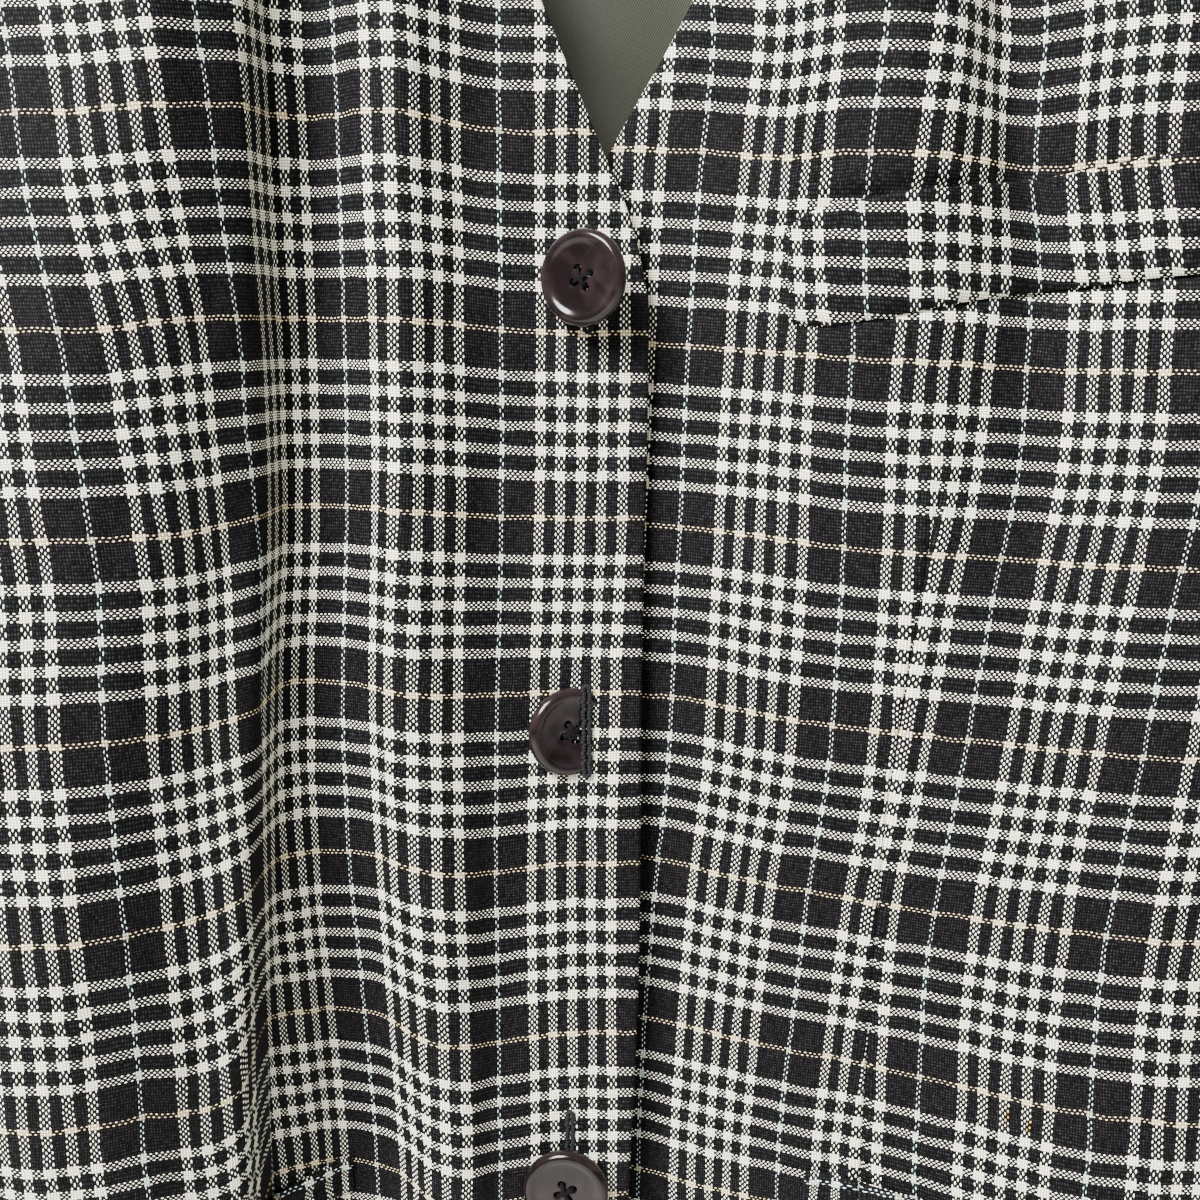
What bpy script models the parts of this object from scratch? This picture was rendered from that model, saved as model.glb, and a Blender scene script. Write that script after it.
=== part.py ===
"""A collarless checked blazer that hangs, buttoned, on a moulded hanger.

Metres, +Z up.  The front of the blazer faces -Y and the wearer's left is +X.  The origin is where a
rail carries the hook, so everything hangs below it.

Every cloth piece is cut on a flat pattern.  U is the way across the cloth from the centre front line, and
z is the height at which that thread hangs.  A relief table says how far the folds of a front stand
towards the viewer, and the place of each thread follows from it, since cloth folds and doesn't stretch.
"""
import bpy
import bmesh
import math
import numpy as np
from mathutils import Matrix

# ---------------------------------------------------------------- driving dimensions, in metres
NECK_Z = -0.115            # height of the neck point, where shoulder seam and neckline meet
NECK_HALF = 0.085          # half width of the neck
SHOULDER_Z = -0.158        # height of the shoulder point, where the sleeve starts
SHOULDER_HALF = 0.205      # half of the shoulder width
UNDERARM_Z = -0.372
HEM_Z = -0.804
LAP = 0.016                # each front reaches this far past the centre front line

CLOTH = 0.002              # thickness of a front: cloth, interlining and facing
LINING = 0.001
SEAM_GAP = 0.0005          # the pieces' edges at a seam
SLEEVE_GAP = 0.0011        # at the armholes, where the walls meet at an angle
WALL_LEAN = 0.75           # share of a wall by which the sleeve starts further out where they meet square
LAID_GAP = 0.0005          # between a panel and what lies on it

FRONT_Y = -0.024           # where the centre front line hangs
BACK_NECK_DROP = 0.022
BACK_NECK_ROUND = 2.5      # power of the back neckline's curve
RIDGE_RADIUS = 0.014       # the cloth bends over the hanger on this radius
SHOULDER_SLOPE = (NECK_Z - SHOULDER_Z) / (SHOULDER_HALF - NECK_HALF)

# Folds of the fronts.  Columns: way across the cloth from the centre front, mm.  Rows: height, and how far
# the cloth stands towards the viewer there, mm.
FOLD_U = (-20, 0, 20, 30, 38, 46, 54, 62, 70, 78, 90, 102, 114, 126, 145, 160, 175, 190, 205, 220,
          235, 250, 265)
FOLDS_RIGHT = {
    -0.115: (0, 0, 0, 0, 0, 0, 0, 0, 0, 0, 0, 0, 0, 0, 0, 0, 0, 0, -2, -5, -9, -14, -20),
    -0.180: (0, 0, 0, 0, 1, 2, 2, 1, 1, 2, 4, 7, 8, 8, 6, 4, 2, 0, -3, -7, -12, -18, -25),
    -0.310: (0, 0, 1, 3, 7, 11, 10, 5, 2, 7, 18, 29, 36, 38, 36, 32, 26, 17, 7, -5, -19, -33, -47),
    -0.440: (0, 0, 2, 6, 10, 13, 9, 5, 4, 9, 19, 29, 37, 43, 47, 46, 41, 32, 21, 9, -5, -19, -33),
    -0.530: (0, 0, 3, 9, 12, 10, 5, 2, 3, 10, 21, 32, 40, 47, 54, 53, 45, 34, 21, 8, -6, -20, -34),
    -0.600: (0, 0, 3, 9, 8, 3, -2, -5, -4, 2, 13, 25, 35, 43, 51, 51, 45, 35, 23, 10, -4, -18, -32),
    -0.804: (0, 0, 2, 5, 5, 2, -3, -6, -6, -2, 6, 15, 24, 31, 39, 41, 38, 32, 24, 14, 2, -12, -26),
}
FOLDS_LEFT = {
    -0.115: (0, 0, 0, 0, 0, 0, 0, 0, 0, 0, 0, 0, 0, 0, 0, 0, 0, 0, -2, -5, -9, -14, -20),
    -0.180: (-2, -2, -1, 0, 1, 2, 3, 4, 4, 4, 3, 1, 0, 2, 5, 5, 3, 0, -3, -7, -12, -18, -25),
    -0.310: (-11, -10, -8, -6, -4, -2, 3, 9, 14, 17, 17, 10, 3, 9, 22, 25, 21, 13, 3, -9, -23, -37, -51),
    -0.440: (-9, -8, -6, -4, -1, 2, 5, 7, 9, 11, 14, 15, 16, 20, 27, 30, 28, 22, 13, 1, -13, -27, -41),
    -0.530: (-11, -10, -8, -6, -3, -1, 2, 4, 6, 8, 12, 16, 20, 24, 30, 32, 30, 24, 15, 3, -11, -25, -39),
    -0.600: (-16, -15, -12, -9, -6, -4, -2, 0, 2, 4, 9, 14, 19, 24, 31, 34, 32, 26, 18, 7, -7, -21, -35),
    -0.804: (-18, -17, -14, -12, -10, -8, -6, -4, -2, 1, 6, 12, 18, 23, 30, 34, 33, 28, 21, 11, -2, -16,
             -30),
}
# The centre front line swings this far to the wearer's left, metres, by height.
CENTRE_SWING = {-0.115: 0.0, -0.310: 0.002, -0.375: 0.002, -0.488: -0.0015, -0.613: -0.003, -0.804: -0.004}

# Edges of the flat pattern: height, and U there, metres.
NECKLINE_RIGHT = {-0.115: 0.085, -0.200: 0.0515, -0.310: 0.010, -0.342: -0.0035, -0.361: -0.0115,
                  -0.380: -LAP}
NECKLINE_LEFT = {-0.115: 0.085, -0.200: 0.062, -0.310: 0.026, -0.345: 0.0055, -0.372: -0.008, -0.400: -LAP}
ARMHOLE_FRONT = {-0.158: 0.205, -0.200: 0.186, -0.250: 0.177, -0.300: 0.182, -0.342: 0.205, -0.372: 0.243}
SIDE_SEAM = {-0.372: 0.243, -0.480: 0.238, -0.600: 0.248, -0.804: 0.262}
ARMHOLE_BACK = {-0.158: 1.0, -0.200: 0.92, -0.250: 0.88, -0.300: 0.89, -0.342: 0.94, -0.372: 1.0}
BACK_Y = {-0.115: 0.026, -0.160: 0.030, -0.250: 0.044, -0.400: 0.050, -0.500: 0.047, -0.804: 0.055}

BACK_ROUND = 3.0           # the back turns to the side seams on a curve of this power
ARMHOLE_TURN = {-0.158: 0.10, -0.250: 0.25, -0.320: 0.55, -0.372: 1.0}   # share of that turn at the armhole
BACK_TURN = {-0.158: 0.70, -0.250: 0.80, -0.330: 0.90, -0.372: 1.0, -0.804: 1.0}   # how full that curve is
CHEST_Z = -0.300

# Folds of the back: centre from the middle of the back, half width, and height at chest and hem, mm.
BACK_FOLDS = (
    {"x": -148, "half": 26, "chest": 2, "hem": 13},
    {"x": -96, "half": 22, "chest": -2, "hem": -9},
    {"x": -48, "half": 24, "chest": 3, "hem": 10},
    {"x": 12, "half": 26, "chest": -2, "hem": -8},
    {"x": 66, "half": 25, "chest": 2, "hem": 11},
    {"x": 112, "half": 20, "chest": -2, "hem": -8},
    {"x": 154, "half": 24, "chest": 2, "hem": 12},
)

# Grid of a front: columns up to each U, metres, and rows in each zone.
FRONT_COLUMNS = ((0.020, 3), (0.070, 5), (0.110, 5), (0.165, 5), (0.265, 8))
RIDGE_STEPS = (0.0, 0.0015, 0.006, 0.014)   # heights below the shoulder seam of the first rows
ARMHOLE_ROWS = 8
BODY_ROWS = 14
NECK_COLUMNS = (0.0, 0.25, 0.5, 0.74, 0.91, 1.0)   # the back's columns below its neckline, shares of it
BACK_HALF_COLUMNS = 11

# Sections of the hanging sleeve: height, centre from the middle of the body and from the hanger's plane,
# half width across and half depth, metres.
SLEEVE_SECTIONS = (
    {"z": -0.430, "x": 0.2595, "y": 0.000, "across": 0.038, "deep": 0.066},
    {"z": -0.520, "x": 0.2625, "y": -0.004, "across": 0.037, "deep": 0.062},
    {"z": -0.620, "x": 0.2640, "y": -0.012, "across": 0.034, "deep": 0.056},
    {"z": -0.722, "x": 0.2625, "y": -0.024, "across": 0.030, "deep": 0.051},
)
CAP_STEPS = (0.0, 0.10, 0.24, 0.42, 0.62, 0.82, 1.0)   # rows of the sleeve head, from armhole to biceps
CAP_REACH = (0.008, 0.044)  # how far the head runs on outwards, at the underarm and at the top
CAP_FALL = (0.018, 0.160)   # how far it comes down straight above the biceps, likewise
SLEEVE_ROWS = 8

POCKET_U = 0.067           # inner end of a lower pocket
POCKET_LONG = 0.130
POCKET_Z = -0.609
POCKET_FALL = 0.010        # the pocket's outer end is this much lower
JET_HIGH = 0.0046
JET_GAP = 0.0006            # the pocket's mouth, between its two jets
WELT_U = 0.053
WELT_LONG = 0.100
WELT_Z = -0.386            # lower edge of the welt at its inner end
WELT_RISE = 0.012
WELT_HIGH = 0.025
LAID_THICK = 0.0012
STRIP_GAP = 0.0009         # between a front and a welt or jet on it
STRIP_ROW = 0.006          # the strip has a row of faces for each such height
COLUMN_CLEAR = 0.002       # no column of faces lies nearer to a strip's end

BUTTON_SIDES = 20
BUTTON_HOLE_R = 0.0011
BUTTON_HOLE_OUT = 0.0024   # centre of each hole from the button's centre
BUTTON_HOLE_TURN = 25      # degrees by which the four holes are turned

# How each button sits: its yaw in degrees, and how far its middle stands out from the cloth's, metres.
# The middle one is pushed half through its buttonhole, which the others have left.
BUTTON_SEATS = (
    {"node": "button_1", "x": 0.0019, "z": -0.3750, "yaw": -28.0, "proud": 0.0081},
    {"node": "button_2", "x": -0.0015, "z": -0.4880, "yaw": 24.0, "proud": 0.0016},
    {"node": "button_3", "x": -0.0032, "z": -0.6133, "yaw": -6.0, "proud": 0.0051},
)
SLIT_CLEAR = 0.0005        # room around the middle button where it passes through the cloth
# Profile of a button, from its dished face round its edge to its flat back: radius and height, metres.
BUTTON_PROFILE = ((0.0, 0.0009), (0.0072, 0.0011), (0.0092, 0.0018), (0.0109, 0.0011), (0.0115, -0.0002),
                  (0.0106, -0.0014), (0.0, -0.0016))

HANGER_GAP = 0.0006        # between the hanger's top and the cloth
HANGER_SECTIONS = 23
HANGER_SIDES = 10
HANGER_TIP = 0.190
HANGER_DEEP = (0.007, 0.012)   # half thickness at the middle and at the tips
HANGER_HIGH = (0.013, 0.009)   # half height there
HANGER_BEND = 0.020        # the two arms meet on this radius
HANGER_LEAN = 0.0012       # keeps the bent top at the cloth's slope
HANGER_END = 0.010         # the arms' ends are rounded over this length
END_ROUND = 0.95           # and this far towards a point
HOOK_R = 0.021             # to the middle of the hook's rod
HOOK_ROD = 0.0038
HOOK_FROM = -50            # the hook's bow, in degrees from +X
HOOK_TO = 205
BOW_POINTS = 15
HOOK_STEM = ((0.0, -0.104), (0.0, -0.064), (0.0015, -0.051), (0.0070, -0.0405))


# ---------------------------------------------------------------- curves through short tables
def spline(x, knots, values):
    """Cubic Hermite curve through the knots, with the slopes of a smooth line through each three of them."""
    knots = np.asarray(knots, float)
    values = np.asarray(values, float)
    order = np.argsort(knots)
    knots = knots[order]
    values = values[order]
    slopes = np.gradient(values, knots, axis=0)
    x = np.clip(x, knots[0], knots[-1])
    i = np.clip(np.searchsorted(knots, x) - 1, 0, len(knots) - 2)
    step = knots[i + 1] - knots[i]
    t = (x - knots[i]) / step
    if values.ndim == 2:
        t = t[:, None]
        step = step[:, None]
    return ((2 * t**3 - 3 * t**2 + 1) * values[i] + (t**3 - 2 * t**2 + t) * step * slopes[i]
            + (3 * t**2 - 2 * t**3) * values[i + 1] + (t**3 - t**2) * step * slopes[i + 1])


def by_height(z, table):
    """Value at height z of a table that maps height to value."""
    return spline(z, list(table), list(table.values()))


def shoulder_line(x):
    """Height of the line along which the cloth lies over the hanger."""
    return NECK_Z - (np.abs(x) - NECK_HALF) * SHOULDER_SLOPE


def over_ridge(drop):
    """Share of the full depth that the cloth has reached this far below the shoulder line."""
    return np.sqrt(1 - (1 - np.clip(drop / RIDGE_RADIUS, 0, 1)) ** 2)


class Front:
    """One front as a bent sheet: threads U and height z give the place in space.

    The relief comes from the table.  Its slope along the cloth is the sine of the angle by which the cloth
    turns from the front plane, so the cosine, summed along the thread, gives how far across it has come.
    """

    STEP = 0.001
    MOST_SLOPE = 0.965

    def __init__(self, side, folds):
        self.side = side
        self.u = np.arange(-0.022, 0.2661, self.STEP)
        self.z = np.linspace(HEM_Z, NECK_Z, 90)
        marks = np.array(FOLD_U) / 1000
        rows = np.array([spline(self.u, marks, np.array(row) / 1000) for row in folds.values()])
        relief = spline(self.z, list(folds), rows)
        slope = np.clip(np.gradient(relief, self.STEP, axis=1), -self.MOST_SLOPE, self.MOST_SLOPE)
        across = np.cumsum(np.sqrt(1 - slope**2), axis=1) * self.STEP
        centre = np.argmin(np.abs(self.u))
        self.across = across - across[:, centre:centre + 1]
        depth = np.cumsum(slope, axis=1) * self.STEP
        self.relief = depth - depth[:, centre:centre + 1] + relief[:, centre:centre + 1]

    def read(self, lattice, u, z):
        """Value of a lattice between its points."""
        i = np.clip((z - self.z[0]) / (self.z[1] - self.z[0]), 0, len(self.z) - 1.001)
        j = np.clip((u - self.u[0]) / self.STEP, 0, len(self.u) - 1.001)
        row = i.astype(int)
        col = j.astype(int)
        fr = i - row
        fc = j - col
        return ((1 - fr) * (1 - fc) * lattice[row, col] + (1 - fr) * fc * lattice[row, col + 1]
                + fr * (1 - fc) * lattice[row + 1, col] + fr * fc * lattice[row + 1, col + 1])

    def place(self, u, z):
        """Points in space, with the last axis x, y, z."""
        across = self.read(self.across, u, z)
        relief = self.read(self.relief, u, z)
        drop = shoulder_line(across) - z
        depth = (FRONT_Y - relief) * over_ridge(drop) - SEAM_GAP / 2
        return np.stack([self.side * across + by_height(z, CENTRE_SWING), depth, z], axis=-1)


# ---------------------------------------------------------------- meshes and materials
def material(name, colour, roughness):
    """A plain finish."""
    made = bpy.data.materials.new(name)
    made.use_nodes = True
    shader = made.node_tree.nodes["Principled BSDF"]
    shader.inputs["Base Color"].default_value = (*colour, 1)
    shader.inputs["Roughness"].default_value = roughness
    return made


def add(name, mesh, finish, smooth=40):
    """Puts a mesh in the blazer's collection as a node."""
    mesh.materials.clear()
    mesh.materials.append(finish)
    mesh.shade_smooth()
    mesh.set_sharp_from_angle(angle=math.radians(smooth))
    node = bpy.data.objects.new(name, mesh)
    PARTS.objects.link(node)
    return node


def grid_faces(rows, columns, closed=False):
    """Quads between neighbouring rows, the last column joined to the first on a closed tube."""
    wide = columns if closed else columns - 1
    r, c = np.meshgrid(np.arange(rows - 1), np.arange(wide), indexing="ij")
    nxt = (c + 1) % columns
    first = r * columns
    quads = np.stack([first + c, first + nxt, first + columns + nxt, first + columns + c], axis=-1)
    return quads.reshape(-1, 4)


def sheet(name, points, finish, thick, outwards=1, closed=False):
    """A grid of points as a wall of even thickness, half of it on each side."""
    rows, columns = points.shape[:2]
    faces = grid_faces(rows, columns, closed)
    if outwards < 0:
        faces = faces[:, ::-1]
    mesh = bpy.data.meshes.new(name)
    mesh.from_pydata(points.reshape(-1, 3).tolist(), [], faces.tolist())
    node = add(name, mesh, finish)
    wall = node.modifiers.new("wall", "SOLIDIFY")
    wall.thickness = thick
    wall.offset = 0
    return node


def grid_normals(points):
    """Unit normals of a grid, by the cross product of its two directions."""
    along = np.gradient(points, axis=1)
    down = np.gradient(points, axis=0)
    normal = np.cross(down, along)
    return normal / np.linalg.norm(normal, axis=-1, keepdims=True)


# ---------------------------------------------------------------- fronts
def front_pattern(neckline):
    """U and z of the grid of a front: every row runs from its inner to its outer edge."""
    inner_z = np.concatenate([NECK_Z - np.array(RIDGE_STEPS[:-1]),
                              np.linspace(NECK_Z - RIDGE_STEPS[-1], UNDERARM_Z, ARMHOLE_ROWS + 1),
                              np.linspace(UNDERARM_Z, HEM_Z, BODY_ROWS + 1)[1:]])
    outer_z = np.concatenate([SHOULDER_Z - np.array(RIDGE_STEPS[:-1]),
                              np.linspace(SHOULDER_Z - RIDGE_STEPS[-1], UNDERARM_Z, ARMHOLE_ROWS + 1),
                              np.linspace(UNDERARM_Z, HEM_Z, BODY_ROWS + 1)[1:]])
    inner_u = np.where(inner_z > min(neckline), by_height(inner_z, neckline), -LAP)
    armhole = by_height(outer_z, ARMHOLE_FRONT)
    outer_u = np.where(outer_z > UNDERARM_Z, armhole, by_height(outer_z, SIDE_SEAM))
    marks = [-LAP]
    for reach, count in FRONT_COLUMNS:
        marks.extend(np.linspace(marks[-1], reach, count + 1)[1:])
    share = (np.array(marks) + LAP) / (marks[-1] + LAP)
    u = inner_u[:, None] + (outer_u - inner_u)[:, None] * share
    z = inner_z[:, None] + (outer_z - inner_z)[:, None] * share
    return u, z


def laid_patch(points, u, z, corners, lift, rows):
    """Points on a panel's own facets between four corners in U and z, moved out of the panel.

    corners are (u, z) of the inner top, outer top, outer bottom and inner bottom.  The patch has a column
    at each of the panel's, so it bends where the panel does.
    """
    normals = grid_normals(points)
    top_in, top_out, low_out, low_in = corners
    column_u = u[-1]
    inside = column_u[(column_u > top_in[0] + COLUMN_CLEAR) & (column_u < top_out[0] - COLUMN_CLEAR)]
    patch_u = np.concatenate([[top_in[0]], inside, [top_out[0]]])
    share = (patch_u - patch_u[0]) / (patch_u[-1] - patch_u[0])
    top = top_in[1] + (top_out[1] - top_in[1]) * share
    low = low_in[1] + (low_out[1] - low_in[1]) * share
    placed = []
    for height in np.linspace(top, low, rows):
        line = []
        for thread, level in zip(patch_u, height):
            row_z = np.array([np.interp(thread, u[r], z[r]) for r in range(len(z))])
            r = int(np.clip(np.sum(row_z > level) - 1, 0, len(z) - 2))
            fr = (row_z[r] - level) / (row_z[r] - row_z[r + 1])
            ends = []
            for k in (r, r + 1):
                c = int(np.clip(np.searchsorted(u[k], thread) - 1, 0, u.shape[1] - 2))
                fc = (thread - u[k, c]) / (u[k, c + 1] - u[k, c])
                ends.append([(1 - fc) * f[k, c] + fc * f[k, c + 1] for f in (points, normals)])
            spot = (1 - fr) * ends[0][0] + fr * ends[1][0]
            normal = (1 - fr) * ends[0][1] + fr * ends[1][1]
            line.append(spot + normal / np.linalg.norm(normal) * lift)
        placed.append(line)
    return np.array(placed)


def laid_strip(name, pattern, start, high, long, fall, side):
    """A welt or jet: a strip that lies on a front, from its inner end (u, z) to the side."""
    points, u, z = pattern
    lift = side * (CLOTH / 2 + STRIP_GAP + LAID_THICK / 2)
    corners = ((start[0], start[1]), (start[0] + long, start[1] - fall),
               (start[0] + long, start[1] - high - fall), (start[0], start[1] - high))
    rows = 2 + int(high // STRIP_ROW)
    strip = laid_patch(points, u, z, corners, lift, rows)
    return sheet(name, strip, CHECK, LAID_THICK, -side)


# ---------------------------------------------------------------- back and sleeves
def back_grid(fronts):
    """Points of the back, row by row like the fronts, from the right side seam to the left one."""
    outer_z = fronts["right"]["z"][:, -1]
    under = len(RIDGE_STEPS) - 1 + ARMHOLE_ROWS
    neck = np.array(NECK_COLUMNS) * NECK_HALF / SHOULDER_HALF
    start = math.asin((NECK_HALF / SHOULDER_HALF) ** (BACK_ROUND / 2))
    rest = np.sin(np.linspace(start, math.pi / 2, BACK_HALF_COLUMNS - 3)) ** (2 / BACK_ROUND)
    half = np.concatenate([neck, rest[1:]])
    halves = []
    for side, label in ((-1, "right"), (1, "left")):
        seam = fronts[label]["points"][:, -1]
        down = np.clip((outer_z[0] - outer_z) / (outer_z[0] - UNDERARM_Z), 0, 1)
        wide = SHOULDER_HALF + (abs(seam[under, 0]) - SHOULDER_HALF) * down
        wide = np.where(outer_z > UNDERARM_Z, wide * by_height(outer_z, ARMHOLE_BACK), np.abs(seam[:, 0]))
        share = by_height(outer_z, ARMHOLE_TURN)
        armhole_y = by_height(outer_z, BACK_Y) * (1 - share) + (seam[under, 1] + SEAM_GAP) * share
        edge_y = np.where(outer_z > UNDERARM_Z, armhole_y, seam[:, 1] + SEAM_GAP)
        x = wide[:, None] * half
        scoop = BACK_NECK_DROP * (1 - (x / NECK_HALF) ** BACK_NECK_ROUND)
        top = np.where(x > NECK_HALF, shoulder_line(x), NECK_Z - scoop)
        z = np.where(down[:, None] < 1, top[0] - down[:, None] * (top[0] - UNDERARM_Z), outer_z[:, None])
        middle = by_height(z.ravel(), BACK_Y).reshape(z.shape)
        reach = half * np.minimum(by_height(outer_z, BACK_TURN), 1)[:, None]
        turned = 1 - (1 - reach**BACK_ROUND) ** (1 / BACK_ROUND)
        depth = middle - (middle - edge_y[:, None]) * turned / turned[:, -1:]
        waves = np.zeros_like(x)
        low = np.clip((SHOULDER_Z - z) / (SHOULDER_Z - CHEST_Z), 0, 1)
        fall = np.clip((CHEST_Z - z) / (CHEST_Z - HEM_Z), 0, 1)
        for fold in BACK_FOLDS:
            near = np.clip((side * x * 1000 - fold["x"]) / fold["half"], -1, 1)
            high = (fold["chest"] * low + (fold["hem"] - fold["chest"]) * fall) / 1000
            waves += high * (0.5 + 0.5 * np.cos(math.pi * near))
        depth = (depth + waves * (1 - half**4)) * over_ridge(shoulder_line(x) - z) + SEAM_GAP / 2
        halves.append(np.stack([side * x, depth, z], axis=-1))
    right, left = halves
    return np.concatenate([right[:, :0:-1], left], axis=1)


def sleeve_grid(side, front, back_edge, back_normals):
    """Rings of a sleeve, from the armhole over its head to the biceps and straight down to the cuff.

    Each thread leaves the armhole outwards and ends straight down: a cubic Bezier curve does both.
    """
    under = len(RIDGE_STEPS) - 1 + ARMHOLE_ROWS
    ring = np.concatenate([front["points"][:under + 1, -1], back_edge[under - 1:0:-1]])
    normals = np.concatenate([grid_normals(front["points"])[:under + 1, -1], back_normals[under - 1:0:-1]])
    step = np.linalg.norm(np.roll(ring, -1, axis=0) - ring, axis=1)
    length = np.concatenate([[0], np.cumsum(step)])
    first = length[under]
    behind = 1 + (length[:-1] - first) / (length[-1] - first)
    turn = np.where(length[:-1] <= first, length[:-1] / first, behind)
    angle = turn * math.pi
    upper = 0.5 + 0.5 * np.cos(angle)

    def section(z):
        """Ring of the hanging sleeve at a height: an ellipse, its outermost point first."""
        x, y, across, deep = (by_height(z, {s["z"]: s[key] for s in SLEEVE_SECTIONS})
                              for key in ("x", "y", "across", "deep"))
        return np.stack([side * (x + across * np.cos(angle)), y - deep * np.sin(angle),
                         np.full(len(angle), z)], axis=-1)

    out = np.stack([np.full(len(ring), float(side)), 0 * angle, -SHOULDER_SLOPE * upper**2], axis=-1)
    out /= np.linalg.norm(out, axis=1, keepdims=True)
    across = np.abs(np.sum(out * normals, axis=1))
    start = ring + out * (SLEEVE_GAP + CLOTH * WALL_LEAN * across)[:, None]
    biceps = section(SLEEVE_SECTIONS[0]["z"])
    reach = CAP_REACH[0] + (CAP_REACH[1] - CAP_REACH[0]) * upper
    fall = CAP_FALL[0] + (CAP_FALL[1] - CAP_FALL[0]) * upper
    leave = start + out * reach[:, None]
    arrive = biceps + np.stack([0 * fall, 0 * fall, fall], axis=-1)
    t = np.array(CAP_STEPS)[:, None, None]
    cap = (1 - t) ** 3 * start + 3 * (1 - t) ** 2 * t * leave + 3 * (1 - t) * t**2 * arrive + t**3 * biceps
    heights = np.linspace(SLEEVE_SECTIONS[0]["z"], SLEEVE_SECTIONS[-1]["z"], SLEEVE_ROWS + 1)[1:]
    return np.concatenate([cap, np.array([section(z) for z in heights])])


# ---------------------------------------------------------------- buttons
def baked(node):
    """The evaluated mesh of an object, which is then removed."""
    bpy.context.view_layer.update()
    ready = node.evaluated_get(bpy.context.evaluated_depsgraph_get())
    mesh = bpy.data.meshes.new_from_object(ready)
    mesh.name = node.name
    bpy.data.objects.remove(node, do_unlink=True)
    return mesh


def cutter(name, mesh, matrix=None):
    """A hidden object that cuts another one."""
    node = bpy.data.objects.new(name, mesh)
    node.hide_render = True
    node.display_type = "WIRE"
    if matrix is not None:
        node.matrix_world = matrix
    CUTTERS.objects.link(node)
    return node


def cylinder(radius, high, sides, spots):
    """One mesh of upright cylinders at some spots."""
    made = bmesh.new()
    for spot in spots:
        bmesh.ops.create_cone(made, cap_ends=True, segments=sides, radius1=radius, radius2=radius,
                              depth=high, matrix=Matrix.Translation(spot))
    mesh = bpy.data.meshes.new("cylinder")
    made.to_mesh(mesh)
    made.free()
    return mesh


def button_mesh():
    """A turned, dished button with four sewing holes; its face looks along +Z."""
    profile = bpy.data.meshes.new("button_profile")
    rim = [(r, 0, h) for r, h in BUTTON_PROFILE]
    profile.from_pydata(rim, [(i, i + 1) for i in range(len(rim) - 1)], [])
    turned = bpy.data.objects.new("button_turned", profile)
    PARTS.objects.link(turned)
    screw = turned.modifiers.new("turn", "SCREW")
    screw.steps = screw.render_steps = BUTTON_SIDES
    screw.use_merge_vertices = True
    screw.merge_threshold = 0.00001
    turns = [math.radians(BUTTON_HOLE_TURN + 90 * k) for k in range(4)]
    spots = [(BUTTON_HOLE_OUT * math.cos(a), BUTTON_HOLE_OUT * math.sin(a), 0) for a in turns]
    holes = cutter("button_holes", cylinder(BUTTON_HOLE_R, 0.01, 8, spots))
    cut = turned.modifiers.new("holes", "BOOLEAN")
    cut.operation = "DIFFERENCE"
    cut.object = holes
    mesh = baked(turned)
    bpy.data.objects.remove(holes, do_unlink=True)
    return mesh


# ---------------------------------------------------------------- hanger
def hanger():
    """Two sloping arms with a hook, moulded in one."""
    x = np.linspace(-HANGER_TIP, HANGER_TIP, HANGER_SECTIONS)
    share = np.abs(x) / HANGER_TIP
    deep = HANGER_DEEP[0] + (HANGER_DEEP[1] - HANGER_DEEP[0]) * share
    high = HANGER_HIGH[0] + (HANGER_HIGH[1] - HANGER_HIGH[0]) * share
    end = np.sqrt(1 - ((np.abs(x) - HANGER_TIP + HANGER_END) / HANGER_END * END_ROUND).clip(0, 1) ** 2)
    deep = deep * end
    high = high * end
    bent = np.sqrt(x**2 + HANGER_BEND**2) - HANGER_LEAN
    top = shoulder_line(bent) - CLOTH / 2 - HANGER_GAP
    centre = top - HANGER_HIGH[0] - (HANGER_HIGH[1] - HANGER_HIGH[0]) * share
    angle = np.linspace(0, 2 * math.pi, HANGER_SIDES + 1)[:-1]
    points = np.stack([x[:, None] + 0 * angle, deep[:, None] * np.sin(angle),
                       centre[:, None] + high[:, None] * np.cos(angle)], axis=-1)
    faces = grid_faces(len(x), len(angle), closed=True).tolist()
    faces += [list(range(len(angle)))[::-1], [(len(x) - 1) * len(angle) + k for k in range(len(angle))]]
    mesh = bpy.data.meshes.new("hanger")
    mesh.from_pydata(points.reshape(-1, 3).tolist(), [], faces)
    arms = add("hanger", mesh, MOULDED)
    bow = [math.radians(a) for a in np.linspace(HOOK_FROM, HOOK_TO, BOW_POINTS)]
    middle = HOOK_ROD - HOOK_R
    path = [*HOOK_STEM, *((HOOK_R * math.cos(a), middle + HOOK_R * math.sin(a)) for a in bow)]
    curve = bpy.data.curves.new("hook", "CURVE")
    curve.dimensions = "3D"
    curve.bevel_depth = HOOK_ROD
    curve.bevel_resolution = 2
    curve.use_fill_caps = True
    rod_line = curve.splines.new("POLY")
    rod_line.points.add(len(path) - 1)
    for point, (px, pz) in zip(rod_line.points, path):
        point.co = (px, 0, pz, 1)
    rod = bpy.data.objects.new("hook_rod", curve)
    PARTS.objects.link(rod)
    mesh = baked(rod)
    welded = bmesh.new()
    welded.from_mesh(mesh)
    bmesh.ops.remove_doubles(welded, verts=welded.verts, dist=0.00001)
    welded.to_mesh(mesh)
    welded.free()
    hook = cutter("hook", mesh)
    join = arms.modifiers.new("hook", "BOOLEAN")
    join.operation = "UNION"
    join.object = hook


# ---------------------------------------------------------------- build
for old in list(bpy.data.objects):
    bpy.data.objects.remove(old, do_unlink=True)
PARTS = bpy.data.collections.new("blazer")
CUTTERS = bpy.data.collections.new("cutters")
bpy.context.scene.collection.children.link(PARTS)
bpy.context.scene.collection.children.link(CUTTERS)

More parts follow.
